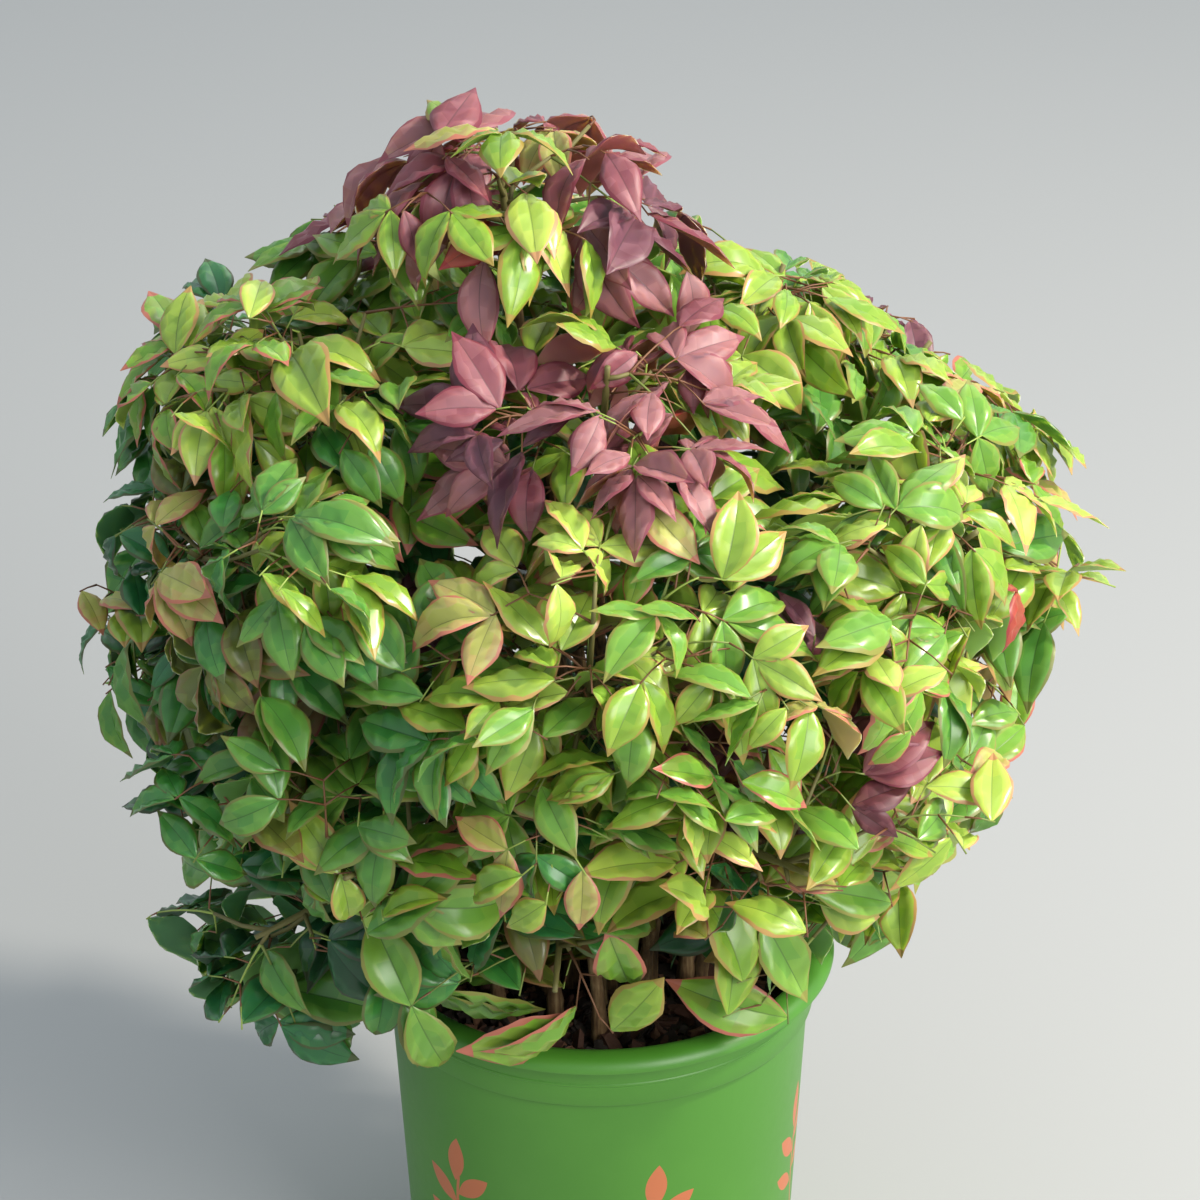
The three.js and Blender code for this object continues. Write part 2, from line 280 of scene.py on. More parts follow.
def potProfile():
    top, rim, neck = pot["rimHeight"], pot["rimRadius"], pot["neckRadius"]
    base, wall, floor = pot["baseRadius"], pot["wall"], pot["floor"]
    step, lip = top - pot["band"], top - pot["lip"]
    foot = [(base - 0.006, 0.0), (base - 0.0028, 0.0008), (base - 0.0008, 0.0035)]
    side = [(wallRadius(height), height) for height in (0.008, 0.060, 0.120, step - 0.001, step)]
    band = [
        (neck - 0.0004, step + 0.0012), (neck, step + 0.002), (neck, step + 0.014),
        (neck + 0.0005, step + 0.0146), (neck + 0.0005, step + 0.0156), (neck, step + 0.0162),
        (neck, lip - 0.0012), (neck + 0.0006, lip - 0.0004),
    ]
    roll = [
        (rim - 0.0012, lip), (rim - 0.0003, lip + 0.0004), (rim, lip + 0.0014), (rim - 0.0004, lip + 0.0034),
        (rim - 0.0020, lip + 0.0058), (rim - 0.0050, lip + 0.0080), (neck + 0.0010, top),
    ]
    inside = [
        (neck - wall + 0.0004, top - 0.0002), (neck - wall - 0.0010, top - 0.0012),
        (neck - wall - 0.0016, lip - 0.004), (wallRadius(step) - wall, step),
        (wallRadius(0.010) - wall, 0.010), (wallRadius(0.008) - wall - 0.003, floor),
        (0.020, floor), (0.0004, floor),
    ]
    return foot + side + band + roll + inside


# a printed sprig repeats round the wall: each leaf by its middle, half length, half width and lean
sprig = {
    "count": 6, "turn": 15, "height": 0.108, "radius": 0.1212, "colour": linear(188, 106, 66),
    "leaves": [
        (0.001, 0.036, 0.016, 0.0065, 84), (0.013, 0.020, 0.015, 0.006, 38),
        (-0.012, 0.013, 0.015, 0.006, 140), (0.014, -0.004, 0.014, 0.0055, 28),
        (-0.014, -0.011, 0.014, 0.0055, 150),
    ],
    "stem": {"bend": 4.0, "half": 0.0011, "top": 0.024, "foot": -0.040},
}


def sprigMask(tree, place):
    x, y, z = (node(tree, "ShaderNodeSeparateXYZ", None, place, output=i) for i in range(3))
    half = math.pi / sprig["count"]
    angle = calc("ARCTAN2", x, y * -1.0) - math.radians(sprig["turn"])
    across = sprig["radius"] * calc("WRAP", angle, half, -half)
    above = z - sprig["height"]
    stem = sprig["stem"]
    off = calc("ABSOLUTE", across - stem["bend"] * above * above)
    mask = calc("LESS_THAN", off, stem["half"]) * calc("LESS_THAN", above, stem["top"])
    mask = mask * calc("GREATER_THAN", above, stem["foot"])
    for middle, height, length, width, lean in sprig["leaves"]:
        cos, sin = math.cos(math.radians(lean)), math.sin(math.radians(lean))
        right, rise = across - middle, above - height
        along = (right * cos + rise * sin) * (1 / length)
        aside = calc("ABSOLUTE", (rise * cos - right * sin) * (1 / width))
        mask = calc("MAXIMUM", mask, calc("LESS_THAN", along * along + aside, 1.0))
    return mask


def potFinish():
    # plastic a little worn, with the printed sprigs, and dust in streaks at the foot
    finish = newFinish("greenPlastic", pot["colour"], pot["roughness"], Specular_IOR_Level=pot["shine"])
    tree = finish.node_tree
    place = objectPlace(tree)
    mottle = noise(tree, place, 9.0, 6.0, 0.6)
    fine = noise(tree, place, 160.0, 3.0)
    streaks = noise(tree, stretched(tree, place, 60.0, 3.0), 1.0, 4.0)
    worn = ranged(tree, mottle, 0.45, 0.75, 0.0, 0.35)
    body = blended(tree, worn, pot["colour"], pot["worn"])
    printed = blended(tree, sprigMask(tree, place), body, sprig["colour"])
    height = node(tree, "ShaderNodeSeparateXYZ", None, place, output=2)
    low = ranged(tree, height, 0.0, 0.035, 0.55, 0.0)
    dusty = low * ranged(tree, streaks, 0.48, 0.72, 0.0, 1.0)
    dusted = blended(tree, dusty, printed, pot["dust"])
    rough = 0.30 + 0.16 * mottle + 0.08 * fine
    uneven = relief(tree, 0.6 * fine + 0.8 * streaks, 0.12, 0.0006)
    connect(finish, Base_Color=dusted, Roughness=rough, Normal=uneven)
    return finish


def makePot():
    piece = latheProfile("potShell", potProfile(), pot["steps"])
    radius, half = pot["baseRadius"], pot["drainHeight"] / 2
    for i in range(pot["drainHoles"]):
        deselectAll()
        angle = (i + 0.5) / pot["drainHoles"] * 2 * math.pi
        spot = (math.sin(angle) * radius, -math.cos(angle) * radius, pot["drainLift"])
        bpy.ops.mesh.primitive_cylinder_add(vertices=32, radius=half, depth=pot["drainDepth"], location=spot)
        cutter = modelled("drainCutter")
        cutter.rotation_euler = (math.pi / 2, 0, angle)
        cutter.scale = (pot["drainWidth"] / pot["drainHeight"], 1, 1)
        settle(cutter)
        applyModifier(piece, "BOOLEAN", object=cutter, operation="DIFFERENCE", solver="EXACT")
        bpy.data.objects.remove(cutter)
    piece.data.materials.clear()
    piece.data.materials.append(potFinish())
    selectOnly(piece)
    bpy.ops.object.shade_smooth_by_angle(angle=math.radians(pot["smoothTo"]))
    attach(piece, "root")
    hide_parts("pot")


soil = {
    "height": 0.218, "drop": 0.0040, "gap": 0.0012, "floor": 0.0092, "foot": 0.012, "bevel": 0.003,
    "rings": 14, "sides": 96, "seed": 11,
    "waves": 9, "waveTurns": (20, 90), "waveHeight": 0.0006,  # turns in radians to the metre
    # the browns are darker than the bark mix itself: partly its own dark tone and partly painted shade under
    # the crown
    "dark": linear(34, 23, 16), "warm": linear(70, 41, 27),
    "pale": linear(100, 68, 46), "grit": linear(22, 16, 12),
}


def soilFinish():
    finish = newFinish("dampMix", soil["dark"], 0.9)
    tree = finish.node_tree
    place = objectPlace(tree)
    lumps = node(tree, "ShaderNodeTexVoronoi", {"feature": "F1"}, Vector=place, Scale=140.0)
    grains = noise(tree, place, 260.0, 5.0)
    tint = shaded(tree, grains, (0.25, soil["grit"]), (0.5, soil["dark"]), (0.8, soil["warm"]))
    bumps = relief(tree, lumps + grains, 0.7, 0.002)
    connect(finish, Base_Color=tint, Roughness=0.75 + 0.3 * grains, Normal=bumps)
    return finish


def makeSoil():
    # a plug that fills the pot, with a lumpy top
    top = soil["height"] - soil["drop"]
    foot, bevel, rings = soil["foot"], soil["bevel"], soil["rings"]
    inner = wallRadius(top) - pot["wall"] - soil["gap"]
    low = wallRadius(foot) - pot["wall"] - soil["gap"]
    profile = [(low - bevel, soil["floor"]), (low, foot), (inner, top - bevel), (inner - 0.002, top)]
    profile += [(inner * (1 - i / rings), top) for i in range(1, rings)] + [(0.001, top)]
    piece = latheProfile("soilBed", profile, soil["sides"])
    rng = random.Random(soil["seed"])
    waves = [(rng.uniform(*soil["waveTurns"]), rng.uniform(0, wholeTurn), rng.uniform(0, wholeTurn))
             for _ in range(soil["waves"])]
    height = soil["waveHeight"]
    for vertex in piece.data.vertices:
        x, y, z = vertex.co
        if z > top - 0.001:
            lift = sum(math.sin(x * f * math.cos(a) + y * f * math.sin(a) + b) for f, a, b in waves)
            vertex.co.z += height * lift + rng.uniform(-height, height)
    piece.data.materials.clear()
    piece.data.materials.append(soilFinish())
    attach(piece, "root")
    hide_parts("root_ball")


chips = {  # breadth and raggedness are shares, and the kinds say how many of each tint
    "count": 900, "reach": 0.118, "past": 0.003, "clear": 0.0075, "lean": 0.5, "tip": 0.35,
    "long": (0.006, 0.019), "broad": (0.3, 0.7), "thick": (0.0016, 0.0042),
    "ragged": (0.72, 1.2), "lift": (0.0005, 0.0045),
    "kinds": {"dark": 0.5, "warm": 0.35, "pale": 0.15},
}


def chipFinish(kind):
    # a chip takes one of the soil's browns, darkened by the same painted shade
    finish = newFinish("chip" + kind.capitalize(), soil[kind], 0.85)
    tree = finish.node_tree
    grain = noise(tree, objectPlace(tree), 420.0, 4.0)
    connect(finish, Roughness=0.65 + 0.35 * grain, Normal=relief(tree, grain, 0.5, 0.0008))
    return finish


def makeChips(feet):
    # one flake is dealt out over the soil, each time with other corners, size and turn
    deselectAll()
    bpy.ops.mesh.primitive_cube_add(size=1.0)
    flake = modelled("flake")
    bpy.ops.object.mode_set(mode="EDIT")
    bpy.ops.mesh.select_all(action="SELECT")
    bpy.ops.mesh.subdivide(number_cuts=1)
    bpy.ops.object.mode_set(mode="OBJECT")
    corners = np.array([v.co[:] for v in flake.data.vertices])
    faces = np.array([p.vertices[:] for p in flake.data.polygons])
    bpy.data.objects.remove(flake)
    rng = np.random.default_rng(soil["seed"])
    vertices, slots = [], []
    while len(slots) < chips["count"]:
        radius = chips["reach"] * math.sqrt(rng.random())
        angle = rng.random() * 2 * math.pi
        x, y = radius * math.cos(angle), radius * math.sin(angle)
        long = rng.uniform(*chips["long"])
        outside = radius + long / 2 > chips["reach"] + chips["past"]
        if outside or any(math.hypot(x - a, y - b) < chips["clear"] for a, b in feet):
            continue
        size = np.array([long, long * rng.uniform(*chips["broad"]), rng.uniform(*chips["thick"])])
        body = corners * size * rng.uniform(*chips["ragged"], corners.shape)
        axis = Vector(rng.normal(size=3) * (chips["lean"], chips["lean"], 0) + (0, 0, 1)).normalized()
        turn = Quaternion(axis, rng.random() * wholeTurn)
        tip = Quaternion((1, 0, 0), rng.normal() * chips["tip"])
        spin = np.array((turn @ tip).to_matrix())
        lift = soil["height"] - soil["drop"] + rng.uniform(*chips["lift"])
        vertices.append(body @ spin.T + (x, y, lift))
        slots.append(np.full(len(faces), rng.choice(len(chips["kinds"]), p=list(chips["kinds"].values()))))
    faces = np.concatenate([faces + i * len(corners) for i in range(len(slots))])
    finishes = [chipFinish(kind) for kind in chips["kinds"]]
    piece = meshFromArrays("barkChips", np.concatenate(vertices), [faces], slots, finishes, smooth=False)
    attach(piece, "root")
    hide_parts("root_ball")


# how the crown is laid out: the same named sizes as the solids, in metres
crown = {
    "outline": [  # height, reach, lean
        (0.786, 0.050, -0.035), (0.740, 0.082, -0.040), (0.700, 0.122, -0.054), (0.668, 0.164, -0.062),
        (0.642, 0.214, -0.038), (0.600, 0.248, -0.020), (0.540, 0.293, -0.004), (0.430, 0.289, -0.008),
        (0.350, 0.262, -0.018), (0.250, 0.234, -0.032), (0.170, 0.204, -0.022),
    ],
    "frontCut": 0.31, "cutFrom": 0.430, "cutOver": 0.130, "core": Vector((-0.012, 0.0, 0.430)),
    "tiers": [  # name, root ring, height, inset, azimuth, count
        ("top", 0.0, 0.700, 0.130, 0, 1),
        ("upper", 0.017, 0.636, 0.096, 20, 4),
        ("middle", 0.035, 0.545, 0.070, 0, 6),
        ("lower", 0.052, 0.420, 0.058, 30, 6),
        ("skirt", 0.069, 0.325, 0.048, 0, 6),
    ],
    "uneven": 0.016, "lift": 0.35, "stemInner": 0.046, "stemOuter": 0.034,
    "caneFoot": 0.0046, "caneTip": 0.0028, "caneRise": 0.55, "caneRun": 0.22, "gap": 0.0003,
}
tintOf = {
    "top_1": "rose", "upper_1": "rose", "middle_5": "deep", "middle_6": "green", "lower_4": "deep",
    "lower_5": "deep", "lower_6": "green", "skirt_4": "deep", "skirt_5": "deep",
}
goldenAngle = math.radians(137.5)


def mix(a, b, t):
    return a + (b - a) * t


def outlineAt(height):
    # the crown's reach and lean, and how far it is cut in at the front
    rows = np.array(crown["outline"])[::-1]
    reach = np.interp(height, rows[:, 0], rows[:, 1], left=0, right=0)
    lean = np.interp(height, rows[:, 0], rows[:, 2])
    low = np.clip((crown["cutFrom"] - np.asarray(height)) / crown["cutOver"], 0, 1)
    return reach, lean, crown["frontCut"] * low * low * (3 - 2 * low)


def reachTowards(reach, cut, x, y):
    return reach * (1 - cut * np.maximum(0, -y) / np.maximum(np.hypot(x, y), 1e-9))


def wayTo(azimuth):
    # 0 is the front and 90 the right
    return Vector((math.sin(math.radians(azimuth)), -math.cos(math.radians(azimuth)), 0.0))


swell = {  # the crown fills its outline to the least share, and up to the whole of it round each plume
    "least": 0.89, "width": 0.050, "rows": 62, "columns": 72, "low": 0.170, "high": 0.790,
}
spire = {  # the top mass is airy: shoots by azimuth, tilt and length, each with a few fronds
    "shoots": [
        (-95, 26, 0.085), (80, 46, 0.095), (5, 50, 0.070),
        (175, 45, 0.070), (-50, 66, 0.075), (120, 60, 0.075),
    ],
    "stemFronds": 2, "shootFronds": 3, "leafScale": 1.04, "airyFrom": 0.668, "skipped": 0.72, "cap": 0.746,
    "plumeEvery": 3, "plumeScale": 1.12, "plumeFronds": 2,
}
plumes = {  # sprays out to the full outline: heights on the flanks, azimuth and height, a spiral all round
    "right": (0.763, 0.712, 0.648, 0.606, 0.565, 0.526, 0.462, 0.340, 0.240),
    "left": (0.783, 0.744, 0.700, 0.655, 0.625, 0.577, 0.505, 0.411, 0.276, 0.185),
    "front": [(-27, 0.302), (-17, 0.274), (13, 0.272), (27, 0.272), (40, 0.268)],
    "seams": [(34, 0.60), (30, 0.54), (-30, 0.60), (60, 0.62), (25, 0.615), (21, 0.58), (50, 0.664)],
    "spiral": 84, "zigzag": 5, "clearFlank": 24, "clearFront": 62, "clearHeight": 0.34,
    "hangingFront": -0.12, "leafRoom": 0.058, "fronds": [(0, 0), (58, 20), (52, 200)], "scale": 0.95,
}


def surfaceAt(azimuth, height):
    way = wayTo(azimuth)
    reach, lean, cut = outlineAt(height)
    reach = float(reachTowards(reach, cut, way.x, way.y))
    return Vector((way.x * reach + float(lean), way.y * reach, height))


def plumeSpots():
    spots = []
    for side, azimuth in (("right", 90), ("left", 270)):
        for i, height in enumerate(plumes[side]):
            spots.append(surfaceAt(azimuth + plumes["zigzag"] * (-1) ** i, height))
    spots += [surfaceAt(azimuth, height) for azimuth, height in plumes["front"] + plumes["seams"]]
    for i in range(plumes["spiral"]):
        azimuth = (math.degrees(i * goldenAngle) + 180) % 360 - 180
        height = mix(swell["low"], swell["high"], (i + 0.5) / plumes["spiral"])
        flank = abs(abs(azimuth) - 90) < plumes["clearFlank"]
        front = abs(azimuth) < plumes["clearFront"] and height < plumes["clearHeight"]
        airy = height > spire["airyFrom"] and i % spire["plumeEvery"]
        if not (flank or front or airy):
            spots.append(surfaceAt(azimuth, height))
    return spots


def makeSwell(spots):
    # the share of the outline that is filled, by height and azimuth
    heights = np.linspace(swell["low"], swell["high"], swell["rows"])
    azimuths = np.arange(swell["columns"]) * 360 / swell["columns"]
    surface = np.array([[surfaceAt(azimuth, height)[:] for azimuth in azimuths] for height in heights])
    nearest = np.linalg.norm(surface[:, :, None] - np.array([spot[:] for spot in spots]), axis=3).min(2)
    return mix(swell["least"], 1.0, np.exp(-(nearest / swell["width"]) ** 3))


spots = plumeSpots()
filled = makeSwell(spots)


def insideCrown(points, share=1.0):
    reach, lean, cut = outlineAt(points[..., 2])
    x, y = points[..., 0] - lean, points[..., 1]
    row = (points[..., 2] - swell["low"]) / (swell["high"] - swell["low"]) * (swell["rows"] - 1)
    row = np.clip(np.rint(row).astype(int), 0, swell["rows"] - 1)
    column = np.rint(np.arctan2(x, -y) / math.tau * swell["columns"]).astype(int) % swell["columns"]
    return np.hypot(x, y) < share * filled[row, column] * reachTowards(reach, cut, x, y)


def layOutMasses():
    masses = []
    for tier, (name, ring, height, inset, azimuth, count) in enumerate(crown["tiers"]):
        for i in range(count):
            turn = azimuth + i * 360 / count
            lifted = height + crown["uneven"] * math.sin(2.4 * i + tier + 2)
            way = wayTo(turn)
            reach, lean, cut = outlineAt(lifted)
            middle = way * max(0.0, float(reachTowards(reach, cut, way.x, way.y)) - inset)
            middle += Vector((float(lean), 0.0, lifted))
            outward = (middle - crown["core"]).normalized()
            axis = (outward + up * crown["lift"]).normalized()
            masses.append({
                "name": f"{name}_{i + 1}", "tier": name, "turn": turn, "ring": ring, "middle": middle,
                "outward": outward, "axis": axis, "seed": 31 * tier + i + 7, "plumes": [],
            })
    for spot in spots:
        min(masses, key=lambda mass: (mass["middle"] - spot).length)["plumes"].append(spot)
    return masses


def bezier(points, t):
    a, b, c, d = points
    s = 1 - t
    return a * (s * s * s) + b * (3 * s * s * t) + c * (3 * s * t * t) + d * (t * t * t)


def caneCurve(mass):
    # from the soil, first straight up and then along the mass's own axis
    root = wayTo(mass["turn"]) * mass["ring"] + up * (soil["height"] + crown["gap"])
    tip = mass["middle"] - mass["axis"] * (crown["stemInner"] + crown["gap"])
    rise = (tip.z - root.z) * crown["caneRise"]
    reach = (tip - root).length * crown["caneRun"]
    return [root, root + up * rise, tip - mass["axis"] * reach, tip]


def stemOf(mass, sunk=0.0):
    # the two ends of the stem that carries the mass
    axis = mass["axis"]
    return mass["middle"] - axis * (crown["stemInner"] + sunk), mass["middle"] + axis * crown["stemOuter"]


def sweep(points, radii, sides):
    # rings of corners along a path, with a radius for each ring or each corner, and a flat cap at each end
    points = np.asarray(points)
    tangents = np.gradient(points, axis=0)
    tangents /= np.linalg.norm(tangents, axis=1, keepdims=True)
    # the first corner is set off from a direction that few limbs run in
    side = np.cross(tangents[0], (0.31, 0.17, 0.94))
    if np.linalg.norm(side) < 0.1:
        side = np.cross(tangents[0], (1.0, 0.0, 0.0))
    rings = []
    angles = np.arange(sides) / sides * 2 * math.pi
    for point, tangent, radius in zip(points, tangents, radii):
        side = side - tangent * side.dot(tangent)
        side /= np.linalg.norm(side)
        across, over = radius * np.cos(angles), radius * np.sin(angles)
        rings.append(point + np.outer(across, side) + np.outer(over, np.cross(tangent, side)))
    starts = np.arange(len(points) - 1)[:, None] * sides
    a = (starts + np.arange(sides)).ravel()
    b = (starts + (np.arange(sides) + 1) % sides).ravel()
    walls = np.stack([a, b, b + sides, a + sides], 1)
    caps = np.stack([np.arange(sides)[::-1], np.arange(sides) + (len(points) - 1) * sides])
    return np.concatenate(rings), walls, caps


class Bundle:  # collects many small parts of one kind into one mesh
    def __init__(self):
        self.vertices, self.faces, self.slots, self.total = [], {}, {}, 0

    def add(self, vertices, faces, slots):
        for part, slot in zip(faces, slots):
            size = part.shape[1]
            self.faces.setdefault(size, []).append(part + self.total)
            self.slots.setdefault(size, []).append(np.broadcast_to(np.asarray(slot), len(part)))
        self.vertices.append(vertices)
        self.total += len(vertices)

    def build(self, name, finishes, slot, replaced, smooth=True):
        sizes = sorted(self.faces)
        faces = [np.concatenate(self.faces[size]) for size in sizes]
        slots = [np.concatenate(self.slots[size]) for size in sizes]
        piece = meshFromArrays(name, np.concatenate(self.vertices), faces, slots, finishes, smooth)
        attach(piece, "root")
        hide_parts(*replaced)
        triangles = sum(len(part) * (part.shape[1] - 2) for part in faces)
        print(name, triangles, "triangles")
        return piece


cane = {
    "rings": 56, "sides": 14, "sunk": 0.004, "flare": 0.0012, "flareHeight": 0.006,
    "furrow": 0.10, "nodeEvery": 0.024, "nodeSwell": 0.16, "nodeWidth": 0.12,
    "bark": linear(112, 84, 52), "barkDark": linear(62, 44, 28), "barkPale": linear(158, 132, 92),
}


def barkFinish():
    finish = newFinish("caneBark", cane["bark"], 0.8)
    tree = finish.node_tree
    place = objectPlace(tree)
    fibres = noise(tree, stretched(tree, place, 420.0, 40.0), 1.0, 6.0, 0.65)
    shade = 0.6 * fibres + 0.4 * noise(tree, place, 70.0, 3.0)
    tint = shaded(tree, shade, (0.36, cane["barkDark"]), (0.5, cane["bark"]), (0.66, cane["barkPale"]))
    connect(finish, Base_Color=tint, Roughness=0.6 + 0.4 * fibres, Normal=relief(tree, fibres, 0.6, 0.0006))
    return finish


def caneRadii(shares, length, offset):
    # a flare at the foot, then a slow taper with a ring at each node
    radii = mix(crown["caneFoot"], crown["caneTip"], np.sqrt(shares))
    radii = radii + cane["flare"] * np.exp(-shares * length / cane["flareHeight"])
    steps = shares * length / cane["nodeEvery"] + offset
    ring = np.exp(-(((steps + 0.5) % 1 - 0.5) / cane["nodeWidth"]) ** 2)
    return radii * (0.97 + cane["nodeSwell"] * ring * (0.6 + 0.4 * (1 - shares)))


def furrows(shares, phase, rough):
    # grooves that wind a little round the cane and fade towards its tip
    angles = np.arange(cane["sides"]) / cane["sides"] * 2 * math.pi
    along = shares[:, None]
    wave = 0.5 * np.sin(5 * angles + phase[0] + 3 * along) + 0.35 * np.sin(9 * angles + phase[1] - 5 * along)
    return 1 + cane["furrow"] * (wave + 0.5 * rough) * (1 - 0.5 * along)


def makeCanes(masses):
    bundle = Bundle()
    shares = np.linspace(0, 1, cane["rings"])
    for mass in masses:
        curve = caneCurve(mass)
        rng = np.random.default_rng(mass["seed"])
        points = np.array([bezier(curve, t)[:] for t in shares])
        length = np.linalg.norm(np.diff(points, axis=0), axis=1).sum()
        radii = caneRadii(shares, length, rng.random())
        points[0, 2] -= cane["sunk"]
        phase = rng.random(4) * wholeTurn
        rough = rng.uniform(-1, 1, (cane["rings"], cane["sides"]))
        vertices, walls, caps = sweep(points, radii[:, None] * furrows(shares, phase, rough), cane["sides"])
        bundle.add(vertices, [walls, caps], [0, 0])
    bundle.build("canes", [barkFinish()], "bark", [f"cane_{m['name']}" for m in masses])


leaflet = {
    "length": 0.049, "width": 0.49, "thickness": 0.0008, "veinSlant": 0.11,
    "quilt": 0.22, "outerQuilt": 0.6, "waves": 13, "wavyFrom": 0.8,
    "rows": [  # share of the length, share of the half width
        (0.0, 0.06), (0.07, 0.46), (0.16, 0.77), (0.26, 0.95), (0.37, 1.0),
        (0.49, 0.97), (0.61, 0.83), (0.74, 0.59), (0.87, 0.27), (1.0, 0.02),
    ],
    "columns": [-1.0, -0.86, -0.46, -0.03, 0.03, 0.46, 0.86, 1.0],
    "kinds": ["margin", "outer", "blade", "rib", "blade", "outer", "margin"],
    "outerFrom": 6, "marginFrom": 8,  # rows from which the tip takes the tints of the edge
    "samples": (0, 2, 4, 5, 7),  # columns that stand for the blade where leaflets might cut each other
    "mottles": 4, "mottled": 0.36, "largest": 1.40, "largeBelow": 0.50, "largeOver": 0.20,
    "pairScale": 0.94, "endScale": 1.1,
    # ranges that the pose of each is drawn from
    "turn": (-16, 16), "drop": (-0.1, 0.35), "size": (0.78, 1.16), "breadth": (0.88, 1.12),
    "droop": 0.25, "moreDroop": 1.2,
    "bends": {
        "twist": (-0.7, 0.7), "hook": (-0.1, 0.1), "fold": (0.08, 0.70),
        "arch": (0.12, 0.6), "ripple": (0.0, 0.12),
    },
}


def leafletFaces(seed):
    # seed 0 is plain, any other strews pale blotches over the blade
    rng = random.Random(seed)
    rows, columns = len(leaflet["rows"]), len(leaflet["columns"])
    top = np.arange(rows * columns).reshape(rows, columns)
    below = rows * columns + np.arange(rows)
    faces, kinds = [], []
    for r in range(rows - 1):
        for c, kind in enumerate(leaflet["kinds"]):
            faces.append([top[r, c], top[r, c + 1], top[r + 1, c + 1], top[r + 1, c]])
            if r >= leaflet["marginFrom"]:
                kind = "margin"
            elif kind == "blade" and r >= leaflet["outerFrom"]:
                kind = "outer"
            if seed and kind in ("blade", "outer") and rng.random() < leaflet["mottled"]:
                kind = "pale"
            kinds.append(kind)
        faces.append([top[r, 0], top[r + 1, 0], below[r + 1], below[r]])
        faces.append([below[r], below[r + 1], top[r + 1, -1], top[r, -1]])
        kinds += ["under", "under"]
    ends = [[*top[0, ::-1], below[0]], [*top[-1], below[-1]]]
    return np.array(faces), kinds, np.array(ends)


def scaled(vectors, amounts):
    return vectors * np.asarray(amounts)[..., None]


def leafletVertices(leaves):
    # every leaflet at once: bent along its midrib, arched up from the crease, and quilted between the veins
    along, half = (np.array(part)[None] for part in zip(*leaflet["rows"]))
    u = np.array(leaflet["columns"])[None, None]
    shape = ("root", "way", "normal", "length", "width", "droop", "phase", *leaflet["bends"])
    one = {key: leaves[key][:, None] for key in shape}
    side = np.cross(one["way"], one["normal"])
    bend = one["droop"] * along
    forward = one["length"] * np.sin(bend) / one["droop"]
    fall = -one["length"] * (1 - np.cos(bend)) / one["droop"]
    spin = one["twist"] * along
    level = scaled(one["normal"], np.cos(bend)) + scaled(one["way"], np.sin(bend))
    rowSide = scaled(side, np.cos(spin)) + scaled(level, np.sin(spin))
    rowNormal = scaled(level, np.cos(spin)) - scaled(side, np.sin(spin))
    middle = one["root"] + scaled(one["way"], forward) + scaled(one["normal"], fall)
    middle = middle + scaled(side, one["hook"] * one["length"] * along ** 2)
    halfWidth = np.maximum(one["width"] / 2 * half, 1e-6)[..., None]
    across = halfWidth * u
    size = np.abs(across)
    rise = one["fold"][..., None] * size - one["arch"][..., None] * size * size / halfWidth
    # the blade puffs up between the veins, in turns near the midrib and near the margin
    odd = (np.arange(along.shape[1]) % 2)[None, :, None]
    nearRib, nearEdge = (np.abs(np.abs(u) - column) < 0.1 for column in leaflet["columns"][5:7])
    puff = odd * nearRib + leaflet["outerQuilt"] * (1 - odd) * nearEdge
    rise = rise + leaflet["quilt"] * halfWidth * puff
    ripple = np.sin(along * leaflet["waves"] + one["phase"])[..., None] * one["ripple"][..., None]
    rise = rise + ripple * size * (np.abs(u) > leaflet["wavyFrom"])
    slant = leaflet["veinSlant"] * one["length"][..., None] * np.abs(u) * (half * (1 - along))[..., None]
    top = middle[:, :, None] + scaled(rowSide[:, :, None], across) + scaled(rowNormal[:, :, None], rise)
    top = top + scaled(one["way"][:, :, None], slant)
    below = middle - scaled(rowNormal, leaflet["thickness"] * (0.3 + half))
    return np.concatenate([top.reshape(len(top), -1, 3), below], 1)


leafColours = {  # blade, outer blade, edge and tip, underside
    "lime": ((138, 168, 64), (152, 175, 68), (176, 138, 78), (140, 164, 86)),
    "paleLime": ((166, 192, 86), (178, 196, 88), (190, 140, 96), (158, 176, 108)),
    "yellowGreen": ((122, 160, 53), (138, 166, 57), (156, 134, 62), (132, 156, 74)),
    "peach": ((168, 168, 86), (178, 158, 96), (186, 112, 90), (180, 138, 98)),
    "blush": ((114, 160, 52), (132, 158, 62), (178, 102, 82), (136, 146, 80)),
    "freshGreen": ((106, 154, 59), (120, 160, 61), (136, 136, 62), (118, 150, 76)),
    "green": ((82, 138, 56), (96, 144, 58), (112, 118, 54), (102, 140, 74)),
    "midGreen": ((58, 126, 54), (68, 132, 56), (88, 100, 48), (90, 128, 68)),
    "deepGreen": ((42, 110, 62), (48, 114, 62), (72, 86, 46), (76, 116, 66)),
    "darkGreen": ((32, 84, 50), (36, 88, 50), (56, 68, 40), (58, 94, 52)),
    "olive": ((104, 114, 48), (112, 110, 52), (126, 90, 54), (112, 120, 68)),
    "bronze": ((114, 104, 58), (124, 96, 62), (126, 68, 58), (132, 106, 70)),
    "maroon": ((92, 42, 50), (98, 46, 54), (86, 32, 42), (120, 64, 62)),
    "redOrange": ((158, 80, 58), (164, 70, 56), (146, 48, 50), (182, 98, 70)),
    "rose": ((130, 70, 80), (136, 74, 82), (120, 48, 62), (160, 88, 78)),
    "mauve": ((152, 100, 104), (156, 100, 102), (140, 72, 82), (168, 104, 92)),
    "plum": ((104, 58, 72), (110, 62, 74), (96, 44, 58), (120, 70, 72)),
    "dry": ((136, 96, 60), (126, 84, 52), (100, 62, 42), (150, 112, 74)),
}
